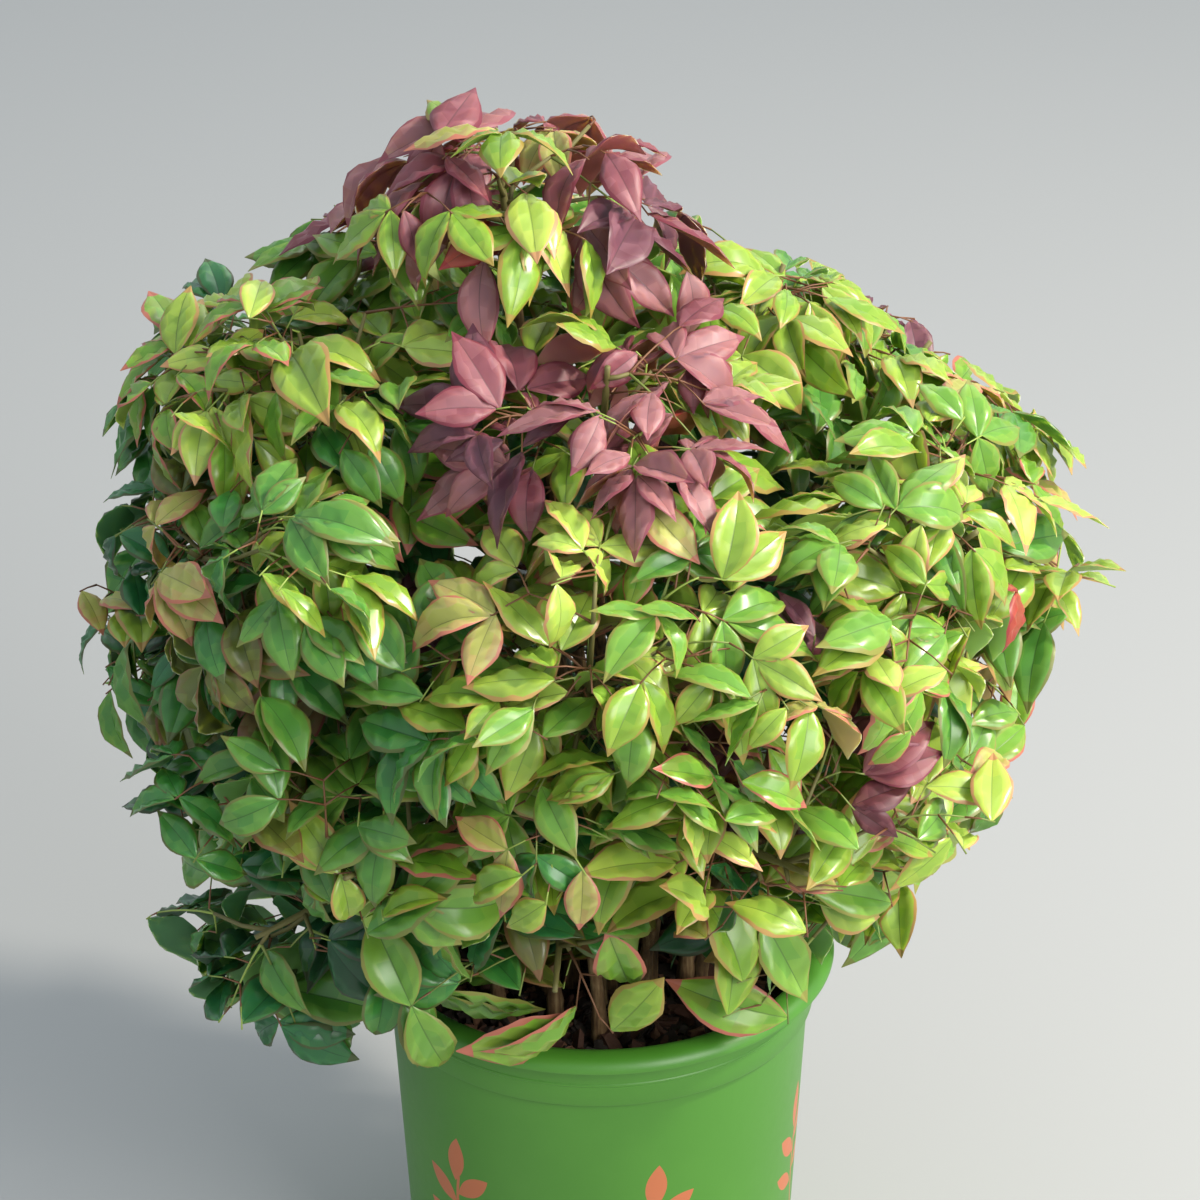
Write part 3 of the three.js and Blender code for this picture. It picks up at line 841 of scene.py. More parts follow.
mixes = {
    "lime": {"lime": 7, "paleLime": 2, "yellowGreen": 6, "peach": 0.8, "freshGreen": 5, "green": 2},
    "fresh": {"freshGreen": 8, "yellowGreen": 4, "green": 5, "lime": 3, "midGreen": 2, "olive": 0.5},
    "green": {"green": 6, "freshGreen": 4, "yellowGreen": 1, "midGreen": 5, "olive": 1, "deepGreen": 2},
    "deep": {"deepGreen": 5, "midGreen": 6, "darkGreen": 2, "green": 4, "olive": 1, "dry": 0.1},
    "rose": {
        "rose": 7, "mauve": 4, "redOrange": 0.4, "plum": 1.4, "maroon": 0.8, "peach": 0.5,
        "olive": 0.4, "yellowGreen": 1.2, "lime": 0.5,
    },
    "spire": {
        "rose": 5, "mauve": 3.5, "peach": 1, "yellowGreen": 2, "lime": 2, "maroon": 1.2, "redOrange": 0.5,
    },
    "peach": {"peach": 9, "paleLime": 3, "lime": 2, "yellowGreen": 2},
    "bronze": {"bronze": 4, "olive": 5, "green": 2},
    "maroon": {"maroon": 5, "plum": 3, "rose": 2},
    "redSpray": {"redOrange": 3, "maroon": 2},
    "newGrowth": {"blush": 5, "peach": 1.5, "paleLime": 2, "lime": 3, "mauve": 0.4},
    "hanging": {"lime": 2, "yellowGreen": 3, "freshGreen": 5, "green": 4, "blush": 1},
    # the inner fronds take the darkest greens, as painted shade inside the crown
    "inner": {"darkGreen": 4, "deepGreen": 8, "midGreen": 2, "plum": 1, "olive": 1, "dry": 0.3},
}
patches = [  # the tinted sprays: their place on the crown, how wide they are, and their mix
    (-0.090, -0.04, 0.777, 0.030, "lime"), (-0.107, -0.03, 0.747, 0.028, "rose"),
    (-0.017, -0.05, 0.772, 0.046, "rose"), (0.022, -0.03, 0.750, 0.040, "rose"),
    (0.060, -0.03, 0.708, 0.032, "lime"), (-0.060, -0.065, 0.754, 0.020, "rose"),
    (-0.073, -0.09, 0.724, 0.032, "rose"), (-0.034, -0.09, 0.722, 0.040, "rose"),
    (0.003, -0.08, 0.722, 0.036, "rose"), (-0.081, -0.105, 0.705, 0.032, "rose"),
    (-0.039, -0.12, 0.695, 0.045, "rose"), (0.024, -0.11, 0.681, 0.036, "rose"),
    (-0.049, -0.15, 0.669, 0.042, "rose"), (-0.075, -0.16, 0.664, 0.034, "rose"),
    (0.005, -0.16, 0.659, 0.038, "rose"), (0.031, -0.175, 0.648, 0.034, "rose"),
    (0.050, -0.13, 0.661, 0.024, "rose"), (-0.085, -0.195, 0.640, 0.042, "peach"),
    (-0.056, -0.22, 0.612, 0.044, "peach"), (-0.008, -0.24, 0.590, 0.038, "peach"),
    (-0.140, -0.18, 0.645, 0.024, "maroon"), (-0.145, -0.19, 0.575, 0.026, "maroon"),
    (-0.205, -0.175, 0.462, 0.036, "bronze"), (0.144, -0.22, 0.560, 0.040, "maroon"),
    (0.129, -0.235, 0.468, 0.042, "maroon"), (0.243, -0.12, 0.511, 0.027, "redSpray"),
    (-0.225, -0.04, 0.640, 0.050, "newGrowth"), (0.270, -0.02, 0.560, 0.036, "newGrowth"),
    (-0.14, -0.08, 0.680, 0.036, "lime"), (0.06, 0.14, 0.700, 0.050, "rose"),
    (-0.15, 0.20, 0.600, 0.050, "peach"), (0.20, 0.18, 0.560, 0.035, "maroon"),
    (-0.24, 0.10, 0.480, 0.040, "bronze"), (0.03, 0.27, 0.520, 0.035, "maroon"),
]
tintsAndPaintedLight = {  # how fast paleness grows each way, where that starts, and at what paleness a mix ends; the paleness to the right, the front and the top is painted light, the darkening low on the left is painted shade, and paleness also grows at the back
    "edge": (0.85, 1.15), "aboveAiry": 0.03, "side": 0.06,
    "new": 0.4, "newHigh": 1.2, "newLevel": 0.5, "newLeft": 1.4,
    "right": 2.3, "front": 2.3, "high": 0.4, "level": 0.48, "uneven": 0.22, "back": 1.6,
    "top": 3.2, "topFrom": 0.58, "left": 1.9, "leftBelow": 0.64, "leftOver": 0.08,
    "lime": 0.42, "fresh": 0.02, "green": -0.42,
}


def mixAt(point, newest, rng):
    # tinted sprays and new growth first, then paler to the right and front as painted light, deeper to the
    # left and the foot as painted shade
    for x, y, z, reach, name in patches:
        if (point - Vector((x, y, z))).length < reach * rng.uniform(*tintsAndPaintedLight["edge"]):
            return mixes[name]
    x, y, z = point
    if z > spire["airyFrom"] + tintsAndPaintedLight["aboveAiry"]:
        return mixes["spire"]
    chance = tintsAndPaintedLight["new"] + tintsAndPaintedLight["newHigh"] * (z - tintsAndPaintedLight["newLevel"])
    if newest and rng.random() < chance + tintsAndPaintedLight["newLeft"] * min(0.0, x + tintsAndPaintedLight["side"]):
        return mixes["newGrowth"]
    # painted light and shade: a spray is drawn paler where the light falls, to the right, the front and the
    # top, and darker low on the left in the shade
    pale = tintsAndPaintedLight["right"] * x - tintsAndPaintedLight["front"] * y + tintsAndPaintedLight["high"] * (z - tintsAndPaintedLight["level"])
    pale = pale + rng.uniform(-tintsAndPaintedLight["uneven"], tintsAndPaintedLight["uneven"]) + tintsAndPaintedLight["back"] * max(0.0, y)
    low = min(max((tintsAndPaintedLight["leftBelow"] - z) / tintsAndPaintedLight["leftOver"], 0.0), 1.0)
    left = max(0.0, -tintsAndPaintedLight["side"] - x)
    pale += tintsAndPaintedLight["top"] * max(0.0, z - tintsAndPaintedLight["topFrom"]) - tintsAndPaintedLight["left"] * low * left
    if pale > tintsAndPaintedLight["lime"]:
        return mixes["lime"]
    if pale > tintsAndPaintedLight["fresh"]:
        return mixes["fresh"]
    return mixes["green"] if pale > tintsAndPaintedLight["green"] else mixes["deep"]


def drawn(colours, rng):
    return rng.choices(list(colours), list(colours.values()))[0]


growth = {
    # fronds on a mass's stem and along its cane
    "stemFronds": 7, "stemTilt": (95, 10), "innerFronds": 6, "innerScale": 0.9,
    # side shoots and their fronds
    "shoots": 4, "shootTilt": (45, 75), "shootLength": 0.062, "shootSize": (0.7, 1.2), "shortestShoot": 0.015,
    "shootFronds": 4, "frondTilt": (85, 15), "shootLift": 0.12, "plumeLift": 0.10, "shootSag": 0.05,
    # how far out a frond may reach, as shares of the way to the outline
    "longShoots": 0.3, "farOut": (0.99, 1.07), "within": (0.88, 0.98), "step": 0.005, "farthest": 0.22,
    # a frond's stalk
    "rachis": 0.052, "rachisSize": (0.75, 1.3), "shortest": 0.012, "stalkSag": 0.2, "sagSize": (0.4, 1.4),
    # its side stalks, at three nodes
    "nodes": (0.36, 0.68, 1.0), "spread": 58, "spreadBy": (-14, 14), "sag": 0.08,
    "pinna": 0.027, "pinnaSize": (0.75, 1.2), "pinnaTaper": (1.15, 0.35), "endPinna": 0.55,
    # its leaflets: shares of outward and up in how they face, and the turn of the two beside the last
    "face": (0.35, 0.85), "hangingFace": (0.95, 0.45), "untidy": 0.5, "leafUntidy": 0.55,
    "sideTurn": 62, "mainShade": 0.7,
    # room for them
    "closest": 0.009, "overlap": 0.030, "leafRoom": 0.028, "hang": 0.014, "flatter": 0.75,
}


def turned(vector, axis, degrees):
    return Quaternion(axis, math.radians(degrees)) @ vector


def square(vector, to):
    return (vector - to * vector.dot(to)).normalized()


def jitter(rng, amount):
    return Vector([rng.uniform(-amount, amount) for _ in range(3)])


def outwardAt(point):
    away = point - crown["core"]
    away.z *= growth["flatter"]
    return away.normalized()


def roomAhead(start, heading, share):
    # the way to the outline, in steps
    steps = np.arange(growth["step"], growth["farthest"], growth["step"])
    ahead = insideCrown(np.array(start) + steps[:, None] * np.array(heading), share)
    return steps[-1] if ahead.all() else steps[np.argmin(ahead)]


def growLeaflet(root, way, tilted, sideTurn, size, rng):
    # its way and face follow the side stalk, and the rest of its pose is left to chance
    face = square(tilted, way)
    along = turned(way, face, sideTurn + rng.uniform(*leaflet["turn"])) - up * rng.uniform(*leaflet["drop"])
    along = (along - tilted * (0.5 * along.dot(tilted))).normalized()
    size = size * rng.uniform(*leaflet["size"]) * leaflet["pairScale" if sideTurn else "endScale"]
    return {
        "root": root, "way": along, "normal": square(face, along),
        "length": size, "width": size * leaflet["width"] * rng.uniform(*leaflet["breadth"]),
        "droop": leaflet["droop"] + leaflet["moreDroop"] * rng.random() ** 1.5,
        **{key: rng.uniform(*span) for key, span in leaflet["bends"].items()},
        "mark": rng.random(), "phase": rng.uniform(0, wholeTurn),
    }


def growFrond(start, heading, index, rng, leaves, stalks, scale=1.0, kind="outer"):
    # a stalk with side stalks of three leaflets each: its number, or None where the spire stays open
    newest = kind != "inner" and rng.random() < growth["longShoots"]
    standsOut = kind in ("plume", "hanging")
    share = rng.uniform(*growth["farOut" if newest or standsOut else "within"])
    room = roomAhead(start, heading, share) - growth["leafRoom"] * scale
    length = growth["rachis"] * scale * rng.uniform(*growth["rachisSize"])
    length = min(length, max(room, growth["shortest"]))
    sag = growth["stalkSag"] * length * rng.uniform(*growth["sagSize"])
    end = start + heading * length
    if not standsOut and end.z > spire["airyFrom"] and rng.random() < spire["skipped"]:
        return None
    outward = outwardAt(end)
    out, upward = growth["hangingFace" if kind == "hanging" else "face"]
    facing = (outward * out + up * upward + jitter(rng, growth["untidy"])).normalized()
    frond, pinnae = len(stalks), []
    colour = rng.choice(list(stalk["colours"]))
    stalks.append({"start": start, "run": heading * length, "sag": sag, "pinnae": pinnae, "colour": colour})
    seen = end + outward * growth["leafRoom"] - up * growth["hang"]
    colours = mixes[kind] if kind in mixes else mixAt(seen, newest, rng)
    # leaflets are larger low down and in front
    low = min(max((leaflet["largeBelow"] - end.z) / leaflet["largeOver"], 0.0), 1.0)
    front = min(max(0.5 - 4 * end.y, 0.0), 1.0)
    size = leaflet["length"] * scale * mix(1.0, leaflet["largest"], low * front)
    main = drawn(colours, rng)
    full, less = growth["pinnaTaper"]
    for place in growth["nodes"]:
        at = start + heading * (length * place) - up * (sag * place * place)
        tangent = (heading * length - up * (2 * sag * place)).normalized()
        flat = (tangent - facing * (0.8 * tangent.dot(facing))).normalized()
        for turn in (0,) if place == 1.0 else (growth["spread"], -growth["spread"]):
            tilted = (facing + jitter(rng, growth["leafUntidy"])).normalized()
            angle = turn + rng.uniform(*growth["spreadBy"])
            way = turned(flat, square(facing, flat), angle) - up * growth["sag"]
            way.normalize()
            taper = full - less * place if turn else growth["endPinna"]
            reach = growth["pinna"] * scale * rng.uniform(*growth["pinnaSize"]) * taper
            tip = at + way * reach - up * (growth["sag"] * reach)
            pinnae.append((at, at + way * (reach * 0.55), tip))
            shade = main if rng.random() < growth["mainShade"] else drawn(colours, rng)
            for sideTurn in (0, growth["sideTurn"], -growth["sideTurn"]):
                root = at.lerp(tip, 0.88) if sideTurn else tip
                leaves.append(growLeaflet(root, way, tilted, sideTurn, size, rng) | {
                    "frond": frond, "pinna": len(pinnae) - 1, "mass": index, "shade": shade,
                    "share": max(share, 1.0), "turn": rng.choice((-1, 1)),
                    "luck": 0.0 if standsOut else rng.random(),
                })
    return frond


def around(axis, turn):
    side = axis.cross(up) if abs(axis.z) < 0.99 else Vector((1, 0, 0))
    return Quaternion(axis, turn) @ side.normalized()


def leant(axis, tilt, turn):
    # an axis leant over, towards a turn round it
    return axis * math.cos(tilt) + around(axis, turn) * math.sin(tilt)


def shootsOf(mass, rng):
    # start, direction and length of a mass's side shoots
    base, tip = stemOf(mass)
    axis = mass["axis"]
    if mass["tier"] == "top":
        for i, (azimuth, tilt, length) in enumerate(spire["shoots"]):
            way = wayTo(azimuth) * math.sin(math.radians(tilt)) + up * math.cos(math.radians(tilt))
            yield base.lerp(tip, mix(0.05, 0.6, i / len(spire["shoots"]))), way, length
        return
    for i in range(growth["shoots"]):
        tilt = math.radians(rng.uniform(*growth["shootTilt"]))
        way = leant(axis, tilt, i * math.tau / growth["shoots"] + mass["seed"])
        start = base.lerp(tip, mix(0.15, 0.75, i / growth["shoots"]))
        length = growth["shootLength"] * rng.uniform(*growth["shootSize"])
        yield start, (way + up * 0.15).normalized(), length


def growMass(mass, index, leaves, stalks, shoots):
    # fronds along the stem and the cane, side shoots with fronds of their own, and the plumes
    rng = random.Random(mass["seed"])
    base, tip = stemOf(mass)
    airyTop = mass["tier"] == "top"
    habit, scale = (spire, spire["leafScale"]) if airyTop else (growth, 1.0)
    for i in range(habit["stemFronds"]):
        share = i / (habit["stemFronds"] - 1)
        tilt = math.radians(mix(*growth["stemTilt"], share ** 1.5) + rng.uniform(-8, 8))
        heading = leant(mass["axis"], tilt, i * goldenAngle + mass["seed"])
        start = base.lerp(tip, mix(0.1, 1.0, share))
        growFrond(start, heading, index, rng, leaves, stalks, scale, "plume" if airyTop else "outer")
    for i, (start, way, length) in enumerate(shootsOf(mass, rng)):
        length = min(length, roomAhead(start, way, 1.0) - growth["leafRoom"])
        if length < growth["shortestShoot"]:
            continue
        end = start + way * length + up * (growth["shootLift"] * length)
        middle = start.lerp(end, 0.5) - up * (growth["shootSag"] * length)
        shoots.append({"path": (start, middle, end), "fronds": []})
        for j in range(habit["shootFronds"]):
            share = (j + 1) / habit["shootFronds"]
            tilt = math.radians(mix(*growth["frondTilt"], share) + rng.uniform(-10, 10))
            heading = leant(way, tilt, j * goldenAngle + i + mass["seed"])
            frond = growFrond(middle.lerp(end, share), heading, index, rng, leaves, stalks, 0.95 * scale)
            shoots[-1]["fronds"].append((frond, share))
    curve = caneCurve(mass)
    # the fronds inside along the cane take the dark inner mix, painted shade
    for i in range(growth["innerFronds"]):
        heading = around(up, i * goldenAngle + mass["seed"] * 2) + mass["outward"] * 0.4 + up * 0.2
        start = bezier(curve, mix(0.45, 0.97, i / growth["innerFronds"]))
        growFrond(start, heading.normalized(), index, rng, leaves, stalks, growth["innerScale"], "inner")
    for spot in mass["plumes"]:
        start = base.lerp(tip, rng.uniform(0.3, 0.9))
        way = (spot - start).normalized()
        length = max((spot - start).length - plumes["leafRoom"], growth["shortest"])
        end = start + way * length + up * (growth["plumeLift"] * length)
        middle = start.lerp(end, 0.5) - up * (growth["shootSag"] * length)
        shoots.append({"path": (start, middle, end), "fronds": []})
        hanging = spot.z < plumes["clearHeight"] and spot.y < plumes["hangingFront"]
        airy = spot.z > spire["airyFrom"]
        count = 1 if hanging else spire["plumeFronds"] if airy else len(plumes["fronds"])
        size = spire["plumeScale"] if hanging or airy else plumes["scale"]
        kind = "hanging" if hanging else "plume"
        for tilt, turn in plumes["fronds"][:count]:
            heading = leant(way, math.radians(tilt + rng.uniform(-8, 8)), math.radians(turn) + mass["seed"])
            frond = growFrond(end, heading, index, rng, leaves, stalks, size, kind)
            shoots[-1]["fronds"].append((frond, 1.0))


def growCrown(masses):
    leaves, stalks, shoots = [], [], []
    for index, mass in enumerate(masses):
        growMass(mass, index, leaves, stalks, shoots)
    print("grown", len(leaves), "leaflets on", len(stalks), "fronds")
    arrays = {}
    for key in leaves[0]:
        vector = key in ("root", "way", "normal")
        arrays[key] = np.array([leaf[key][:] if vector else leaf[key] for leaf in leaves])
    return arrays, stalks, shoots


settling = {
    # spin, pitch and size at which a leaflet is tried until it fits
    "tries": [
        (0, 0, 1.0), (0, -22, 1.0), (0, 16, 1.0), (34, 0, 0.95),
        (-30, -12, 0.92), (64, -8, 0.88), (12, -42, 0.88),
    ],
    "clearance": 0.0013, "reach": 0.062, "fewest": 3, "facing": -0.10, "rimGap": 0.003,
    "caneGap": 0.001, "caneBeads": 40, "nearCane": 1.4,
}
window = {  # the gap over the rim: a wedge under a slanted line of sight, where a few leaflets are kept
    "middle": -0.022, "halfWidth": 0.058, "front": -0.025, "height": 0.222, "slope": 0.634, "kept": 0.10,
}


def keptToMass(vertices, own, masses):
    # on the own side of the plane halfway to each other mass, but for a small overlap
    middles = np.array([mass["middle"][:] for mass in masses])
    inside = np.ones(len(own), bool)
    for other, middle in enumerate(middles):
        away = middle - middles[own]
        distance = np.linalg.norm(away, axis=1)
        offset = np.einsum("lvk,lk->lv", vertices - middles[own][:, None], away).max(1)
        inside &= (own == other) | (offset < distance * (distance / 2 + growth["overlap"]))
    return inside


def clearOfPot(vertices):
    gap = settling["rimGap"]
    radius = np.hypot(vertices[..., 0], vertices[..., 1])
    return ~((vertices[..., 2] < pot["rimHeight"] + gap) & (radius < pot["rimRadius"] + gap)).any(1)


def facesOut(vertices, normals):
    # upper faces look outward and up
    away = vertices.mean(1) - np.array(crown["core"])
    away[:, 2] = np.abs(away[:, 2])
    return (away * normals).sum(1) > settling["facing"] * np.linalg.norm(away, axis=1)


def clearOfWindow(vertices, luck):
    # over the front of the rim the skirt is thin, so the soil shows
    x, y, z = (vertices[..., i] for i in range(3))
    veiled = (np.abs(x - window["middle"]) < window["halfWidth"]) & (y < window["front"])
    sight = window["height"] + window["slope"] * (window["front"] - y)
    return ~(veiled & (z < sight)).any(1) | (luck < window["kept"])


def fits(leaves, masses):
    # which leaflets lie inside the outline and their mass's own space, clear of pot, soil and canes
    vertices = leafletVertices(leaves)
    inside = insideCrown(vertices, leaves["share"][:, None]).all(1)
    inside &= keptToMass(vertices, leaves["mass"], masses) & clearOfPot(vertices)
    inside &= facesOut(vertices, leaves["normal"]) & clearOfWindow(vertices, leaves["luck"])
    # only plumes top the spire
    inside &= (vertices[..., 2].max(1) < spire["cap"]) | (leaves["luck"] == 0)
    reach = leaflet["length"] * settling["nearCane"]
    for mass in masses:
        curve, count = caneCurve(mass), settling["caneBeads"]
        beads = np.array([bezier(curve, i / count) for i in range(count + 1)])
        near = np.linalg.norm(leaves["root"][:, None] - beads, axis=2).min(1) < reach
        close = np.nonzero(inside & near)[0]
        gaps = np.linalg.norm(vertices[close][:, ::3, None] - beads, axis=3).min((1, 2))
        inside[close[gaps < crown["caneFoot"] + settling["caneGap"]]] = False
    return inside, vertices


def spunAbout(vectors, axes, angles):
    cos, sin = np.cos(angles)[:, None], np.sin(angles)[:, None]
    along = (axes * vectors).sum(1)[:, None]
    return vectors * cos + np.cross(axes, vectors) * sin + axes * along * (1 - cos)


def turnedLeaves(leaves, spin, pitch, size):
    # the same leaflets spun in their own plane and tipped about their root
    normal = leaves["normal"]
    way = spunAbout(leaves["way"], normal, np.radians(spin) * leaves["turn"])
    side = np.cross(way, normal)
    tip = np.full(len(way), math.radians(pitch))
    way, normal = spunAbout(way, side, tip), spunAbout(normal, side, tip)
    sized = {key: leaves[key] * size for key in ("length", "width")}
    return leaves | sized | {"way": way, "normal": normal, "side": side}


def heightOver(points, blades):
    # how far points lie above their blade, and whether they lie over it at all
    offset = points - blades["root"][:, None]
    ways = (blades[key] for key in ("way", "side", "normal"))
    ahead, across, above = (np.einsum("bpk,bk->bp", offset, way) for way in ways)
    one = {key: blades[key][:, None] for key in ("length", "width", "droop", *leaflet["bends"])}
    bend = np.arcsin(np.clip(ahead * one["droop"] / one["length"], -1, 1))
    along = bend / one["droop"]
    across = across - one["hook"] * one["length"] * along * along
    rows = np.array(leaflet["rows"])
    half = np.maximum(np.interp(along, rows[:, 0], rows[:, 1]) * one["width"] / 2, 1e-5)
    size = np.abs(across)
    over = (along > 0) & (along < 1) & (size < half)
    rise = one["fold"] * size - one["arch"] * size * size / half + across * np.tan(one["twist"] * along)
    return over, above - rise + one["length"] * (1 - np.cos(bend)) / one["droop"]


class Thicket:  # the leaflets placed so far
    def __init__(self, leaves):
        self.count = 0
        self.blades = {key: np.empty((len(values), *values.shape[1:])) for key, values in leaves.items()
                       if values.dtype.kind == "f" or key in ("frond", "pinna")}

    def add(self, leaves, i):
        for key, values in self.blades.items():
            values[self.count] = leaves[key][i]
        self.count += 1

    def cut(self, leaves, i):
        # whether the leaflet would pass through a neighbour, or a neighbour through it
        away = self.blades["middle"][:self.count] - leaves["middle"][i]
        apart = np.einsum("nk,nk->n", away, away)
        if (apart < growth["closest"] ** 2).any():
            return True
        close = np.nonzero(apart < settling["reach"] ** 2)[0]
        own = self.blades["frond"][close] == leaves["frond"][i]
        close = close[~(own & (self.blades["pinna"][close] == leaves["pinna"][i]))]
        if not len(close):
            return False
        pairs = {key: np.concatenate([values[close], np.broadcast_to(leaves[key][i], values[close].shape)])
                 for key, values in self.blades.items()}
        half = len(close)
        points = np.concatenate([pairs["samples"][half:], pairs["samples"][:half]])
        over, height = heightOver(points, pairs)
        lowest = np.where(over, height, np.inf).min(1)
        highest = np.where(over, height, -np.inf).max(1)
        return bool(((lowest < settling["clearance"]) & (highest > -settling["clearance"])).any())


def outsideIn(fronds, middles):
    # the order to place leaflets in: by frond, the outermost one first
    reach, lean, cut = outlineAt(middles[:, 2])
    x, y = middles[:, 0] - lean, middles[:, 1]
    depth = np.hypot(x, y) / np.maximum(reachTowards(reach, cut, x, y), 1e-3)
    means = np.bincount(fronds, depth) / np.maximum(np.bincount(fronds), 1)
    return np.argsort(-means[fronds], kind="stable")


def settleLeaves(leaves, masses):
    # a leaflet that never finds room is left out, and so is a frond with too few of them
    tries, fitting = [], []
    rows, columns = len(leaflet["rows"]), len(leaflet["columns"])
    for setting in settling["tries"]:
        option = turnedLeaves(leaves, *setting)
        fit, vertices = fits(option, masses)
        grid = vertices[:, :-rows].reshape(len(fit), rows, columns, 3)
        option["samples"] = grid[:, 1:, leaflet["samples"]].reshape(len(fit), -1, 3)
        option["middle"] = option["samples"].mean(1)
        tries.append(option)
        fitting.append(fit)
    fronds = leaves["frond"]
    thicket, chosen = Thicket(tries[0]), []
    for i in outsideIn(fronds, tries[0]["middle"]):
        for number, (option, fit) in enumerate(zip(tries, fitting)):
            if fit[i] and not thicket.cut(option, i):
                thicket.add(option, i)
                chosen.append((number, i))
                break
    held = np.bincount(fronds[[i for _, i in chosen]])
    chosen = [(number, i) for number, i in chosen if held[fronds[i]] >= settling["fewest"]]
    high = (thicket.blades["middle"][:thicket.count, 2] > spire["airyFrom"]).sum()
    print("kept", len(chosen), "of", len(fronds), "leaflets,", high, "of them in the spire")
    return {key: np.array([tries[number][key][i] for number, i in chosen]) for key in leaves}


partOf = {"top": "high", "upper": "high", "middle": "middle", "lower": "low", "skirt": "foot"}
gloss = {
    "blade": 0.28, "redBlade": 0.48, "edge": 0.42, "under": 0.55, "specular": 0.5,
    "through": 0.75, "depth": 0.004, "tint": (1.0, 1.0, 0.5),
    "greenMottle": (214, 212, 96), "redMottle": (222, 172, 168), "mottle": 0.14,
    "ribShade": 0.80, "underShare": 0.6,
}


def leafFinishes():
    # light passes through the blade, and not through its rib and margin
    through = {"Specular_IOR_Level": gloss["specular"], "Subsurface_Weight": gloss["through"],
               "Subsurface_Scale": gloss["depth"], "Subsurface_Radius": gloss["tint"]}
    finishes = {}
    for name, (blade, outer, margin, under) in leafColours.items():
        red = blade[0] >= blade[1]
        light = gloss["redMottle" if red else "greenMottle"]
        dull = gloss["redBlade" if red else "blade"]
        # the rib is the blade's colour darkened, painted shade in the sunken crease of the midrib
        rib = [gloss["ribShade"] * part for part in blade]
        pale = [mix(part, other, gloss["mottle"]) for part, other in zip(blade, light)]
        under = [mix(part, other, gloss["underShare"]) for part, other in zip(blade, under)]
        looks = {
            "blade": (blade, dull, through),
            "outer": (outer, dull, through),
            "margin": (margin, gloss["edge"], {}),
            "under": (under, gloss["under"], through),
            "rib": (rib, gloss["edge"], {}),
            "pale": (pale, dull, through),
        }
        finishes[name] = {kind: newFinish(f"{kind}_{name}", linear(*colour), roughness, **more)
                          for kind, (colour, roughness, more) in looks.items()}
    return finishes


def makeLeaves(leaves, masses):
    patterns = [leafletFaces(seed) for seed in range(leaflet["mottles"])]
    faces, _, ends = patterns[0]
    finishes = leafFinishes()
    tints = [tintOf.get(mass["name"], "lime") for mass in masses]
    groups = {}
    for i, index in enumerate(leaves["mass"]):
        groups.setdefault((tints[index], partOf[masses[index]["tier"]]), []).append(i)
    for (tint, part), members in sorted(groups.items()):
        vertices = leafletVertices({key: values[members] for key, values in leaves.items()})
        used, bundle = [], Bundle()
        for shade, mark, corners in zip(leaves["shade"][members], leaves["mark"][members], vertices):
            kinds = patterns[int(mark * leaflet["mottles"])][1]
            slots = {}
            for kind, finish in finishes[shade].items():
                if finish not in used:
                    used.append(finish)
                slots[kind] = used.index(finish)
            bundle.add(corners, [faces, ends], [[slots[k] for k in kinds], slots["under"]])
        replaced = sorted({f"foliage_{masses[index]['name']}" for index in leaves["mass"][members]})
        piece = bundle.build(f"leaves_{tint}_{part}", used, f"leaf_{tint}", replaced)
        crease(piece.data, len(vertices))


def crease(mesh, count):
    # the margin is the one hard edge of a leaflet
    rows, columns = len(leaflet["rows"]), len(leaflet["columns"])
    own = np.zeros((rows, columns), bool)
    own[:, [0, -1]] = own[[0, -1], :] = True
    border = np.tile(np.concatenate([own.ravel(), np.zeros(rows, bool)]), count)
    edges = np.empty(len(mesh.edges) * 2, np.int32)
    mesh.edges.foreach_get("vertices", edges)
    hard = border[edges.reshape(-1, 2)].all(1)
    attribute = mesh.attributes.new("sharp_edge", "BOOLEAN", "EDGE")
    attribute.data.foreach_set("value", hard)


stalk = {
    "sides": 5, "rachis": 0.00062, "rachisTaper": (1.7, 1.1, 1.0, 0.9, 0.75),
    "pinna": 0.00045, "pinnaTaper": (1.5, 1.0, 1.15),
    "shootSides": 6, "shootRadii": (0.0017, 0.0014, 0.0011),
    "stemSides": 10, "stemRings": 14, "stemSunk": 0.002, "stemTip": 0.0014, "stemNode": 0.14,
    "colours": {"olive": (120, 134, 62), "red": (122, 80, 52), "lime": (150, 170, 78)},
    "stem": (112, 106, 58),
}


def addFrondStalks(bundle, record, pinnae, slot, redSlot):
    # the stalk as far as its last leaflets, and the side stalks, which start red
    taper = np.array(stalk["rachisTaper"])
    shares = np.linspace(0, growth["nodes"][max(pinnae) // 2], len(taper))
    start, run, sag = record["start"], record["run"], record["sag"]
    path = [(start + run * t - up * (sag * t * t))[:] for t in shares]
    vertices, walls, caps = sweep(path, stalk["rachis"] * taper, stalk["sides"])
    bundle.add(vertices, [walls, caps], [slot, slot])
    slots = [redSlot] * stalk["sides"] + [slot] * stalk["sides"]
    for pinna in pinnae:
        path = [v[:] for v in record["pinnae"][pinna]]
        vertices, walls, caps = sweep(path, stalk["pinna"] * np.array(stalk["pinnaTaper"]), stalk["sides"])
        bundle.add(vertices, [walls, caps], [slots, slot])


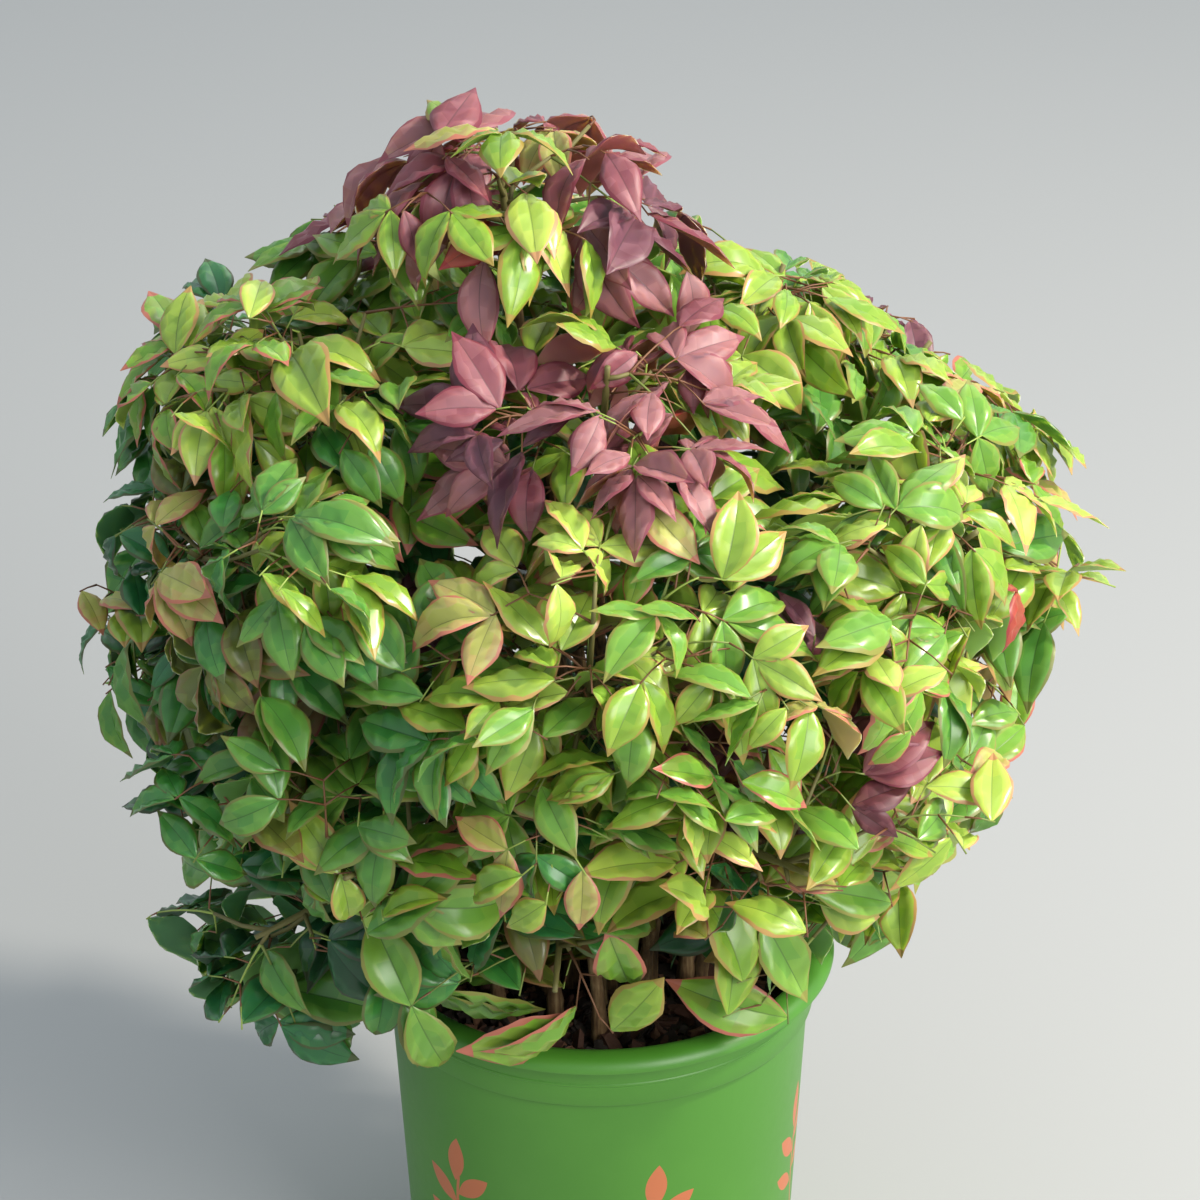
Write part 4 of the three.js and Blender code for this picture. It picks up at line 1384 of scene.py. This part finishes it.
def makeStalks(stalks, shoots, leaves, masses):
    # only what carries a leaflet is drawn
    bundle = Bundle()
    names = list(stalk["colours"])
    finishes = []
    for name, colour in stalk["colours"].items():
        finishes.append(newFinish("stalk" + name.capitalize(), linear(*colour), 0.5))
    finishes.append(newFinish("stemGreen", linear(*stalk["stem"]), 0.6))
    green = len(names)
    used = set(zip(leaves["frond"].tolist(), leaves["pinna"].tolist()))
    for number, record in enumerate(stalks):
        pinnae = [p for p in range(len(record["pinnae"])) if (number, p) in used]
        if pinnae:
            addFrondStalks(bundle, record, pinnae, names.index(record["colour"]), names.index("red"))
    shares = np.linspace(0, 1, stalk["stemRings"])
    knots = 1 + stalk["stemNode"] * (np.arange(len(shares)) % 3 == 1)
    radii = mix(crown["caneTip"], stalk["stemTip"], shares) * knots
    for mass in masses:
        base, tip = stemOf(mass, stalk["stemSunk"])
        vertices, walls, caps = sweep([base.lerp(tip, t)[:] for t in shares], radii, stalk["stemSides"])
        bundle.add(vertices, [walls, caps], [green, green])
    held = {frond for frond, _ in used}
    for shoot in shoots:
        reached = [share for frond, share in shoot["fronds"] if frond in held]
        if reached:
            start, middle, end = shoot["path"]
            path = [start[:], middle[:], middle.lerp(end, max(reached))[:]]
            vertices, walls, caps = sweep(path, stalk["shootRadii"], stalk["shootSides"])
            bundle.add(vertices, [walls, caps], [green, green])
    bundle.build("stalks", finishes, "bark", [f"foliage_{m['name']}" for m in masses])


def makeFloor():
    deselectAll()
    bpy.ops.mesh.primitive_plane_add(size=studio["floorSize"], location=(0, 0, -studio["floorDrop"]))
    floor = modelled("floor")
    tone = studio["floorTone"]
    floor.data.materials.append(newFinish("paleFloor", linear(tone, tone, tone), 0.9))


placeCamera()
placeLights()
makeFloor()
print("camera, lights and floor placed")
makePot()
print("pot made")
masses = layOutMasses()
makeSoil()
makeChips([caneCurve(mass)[0].xy for mass in masses])
print("soil made")
makeCanes(masses)
leaves, stalks, shoots = growCrown(masses)
leaves = settleLeaves(leaves, masses)
makeLeaves(leaves, masses)
makeStalks(stalks, shoots, leaves, masses)
print("crown made")
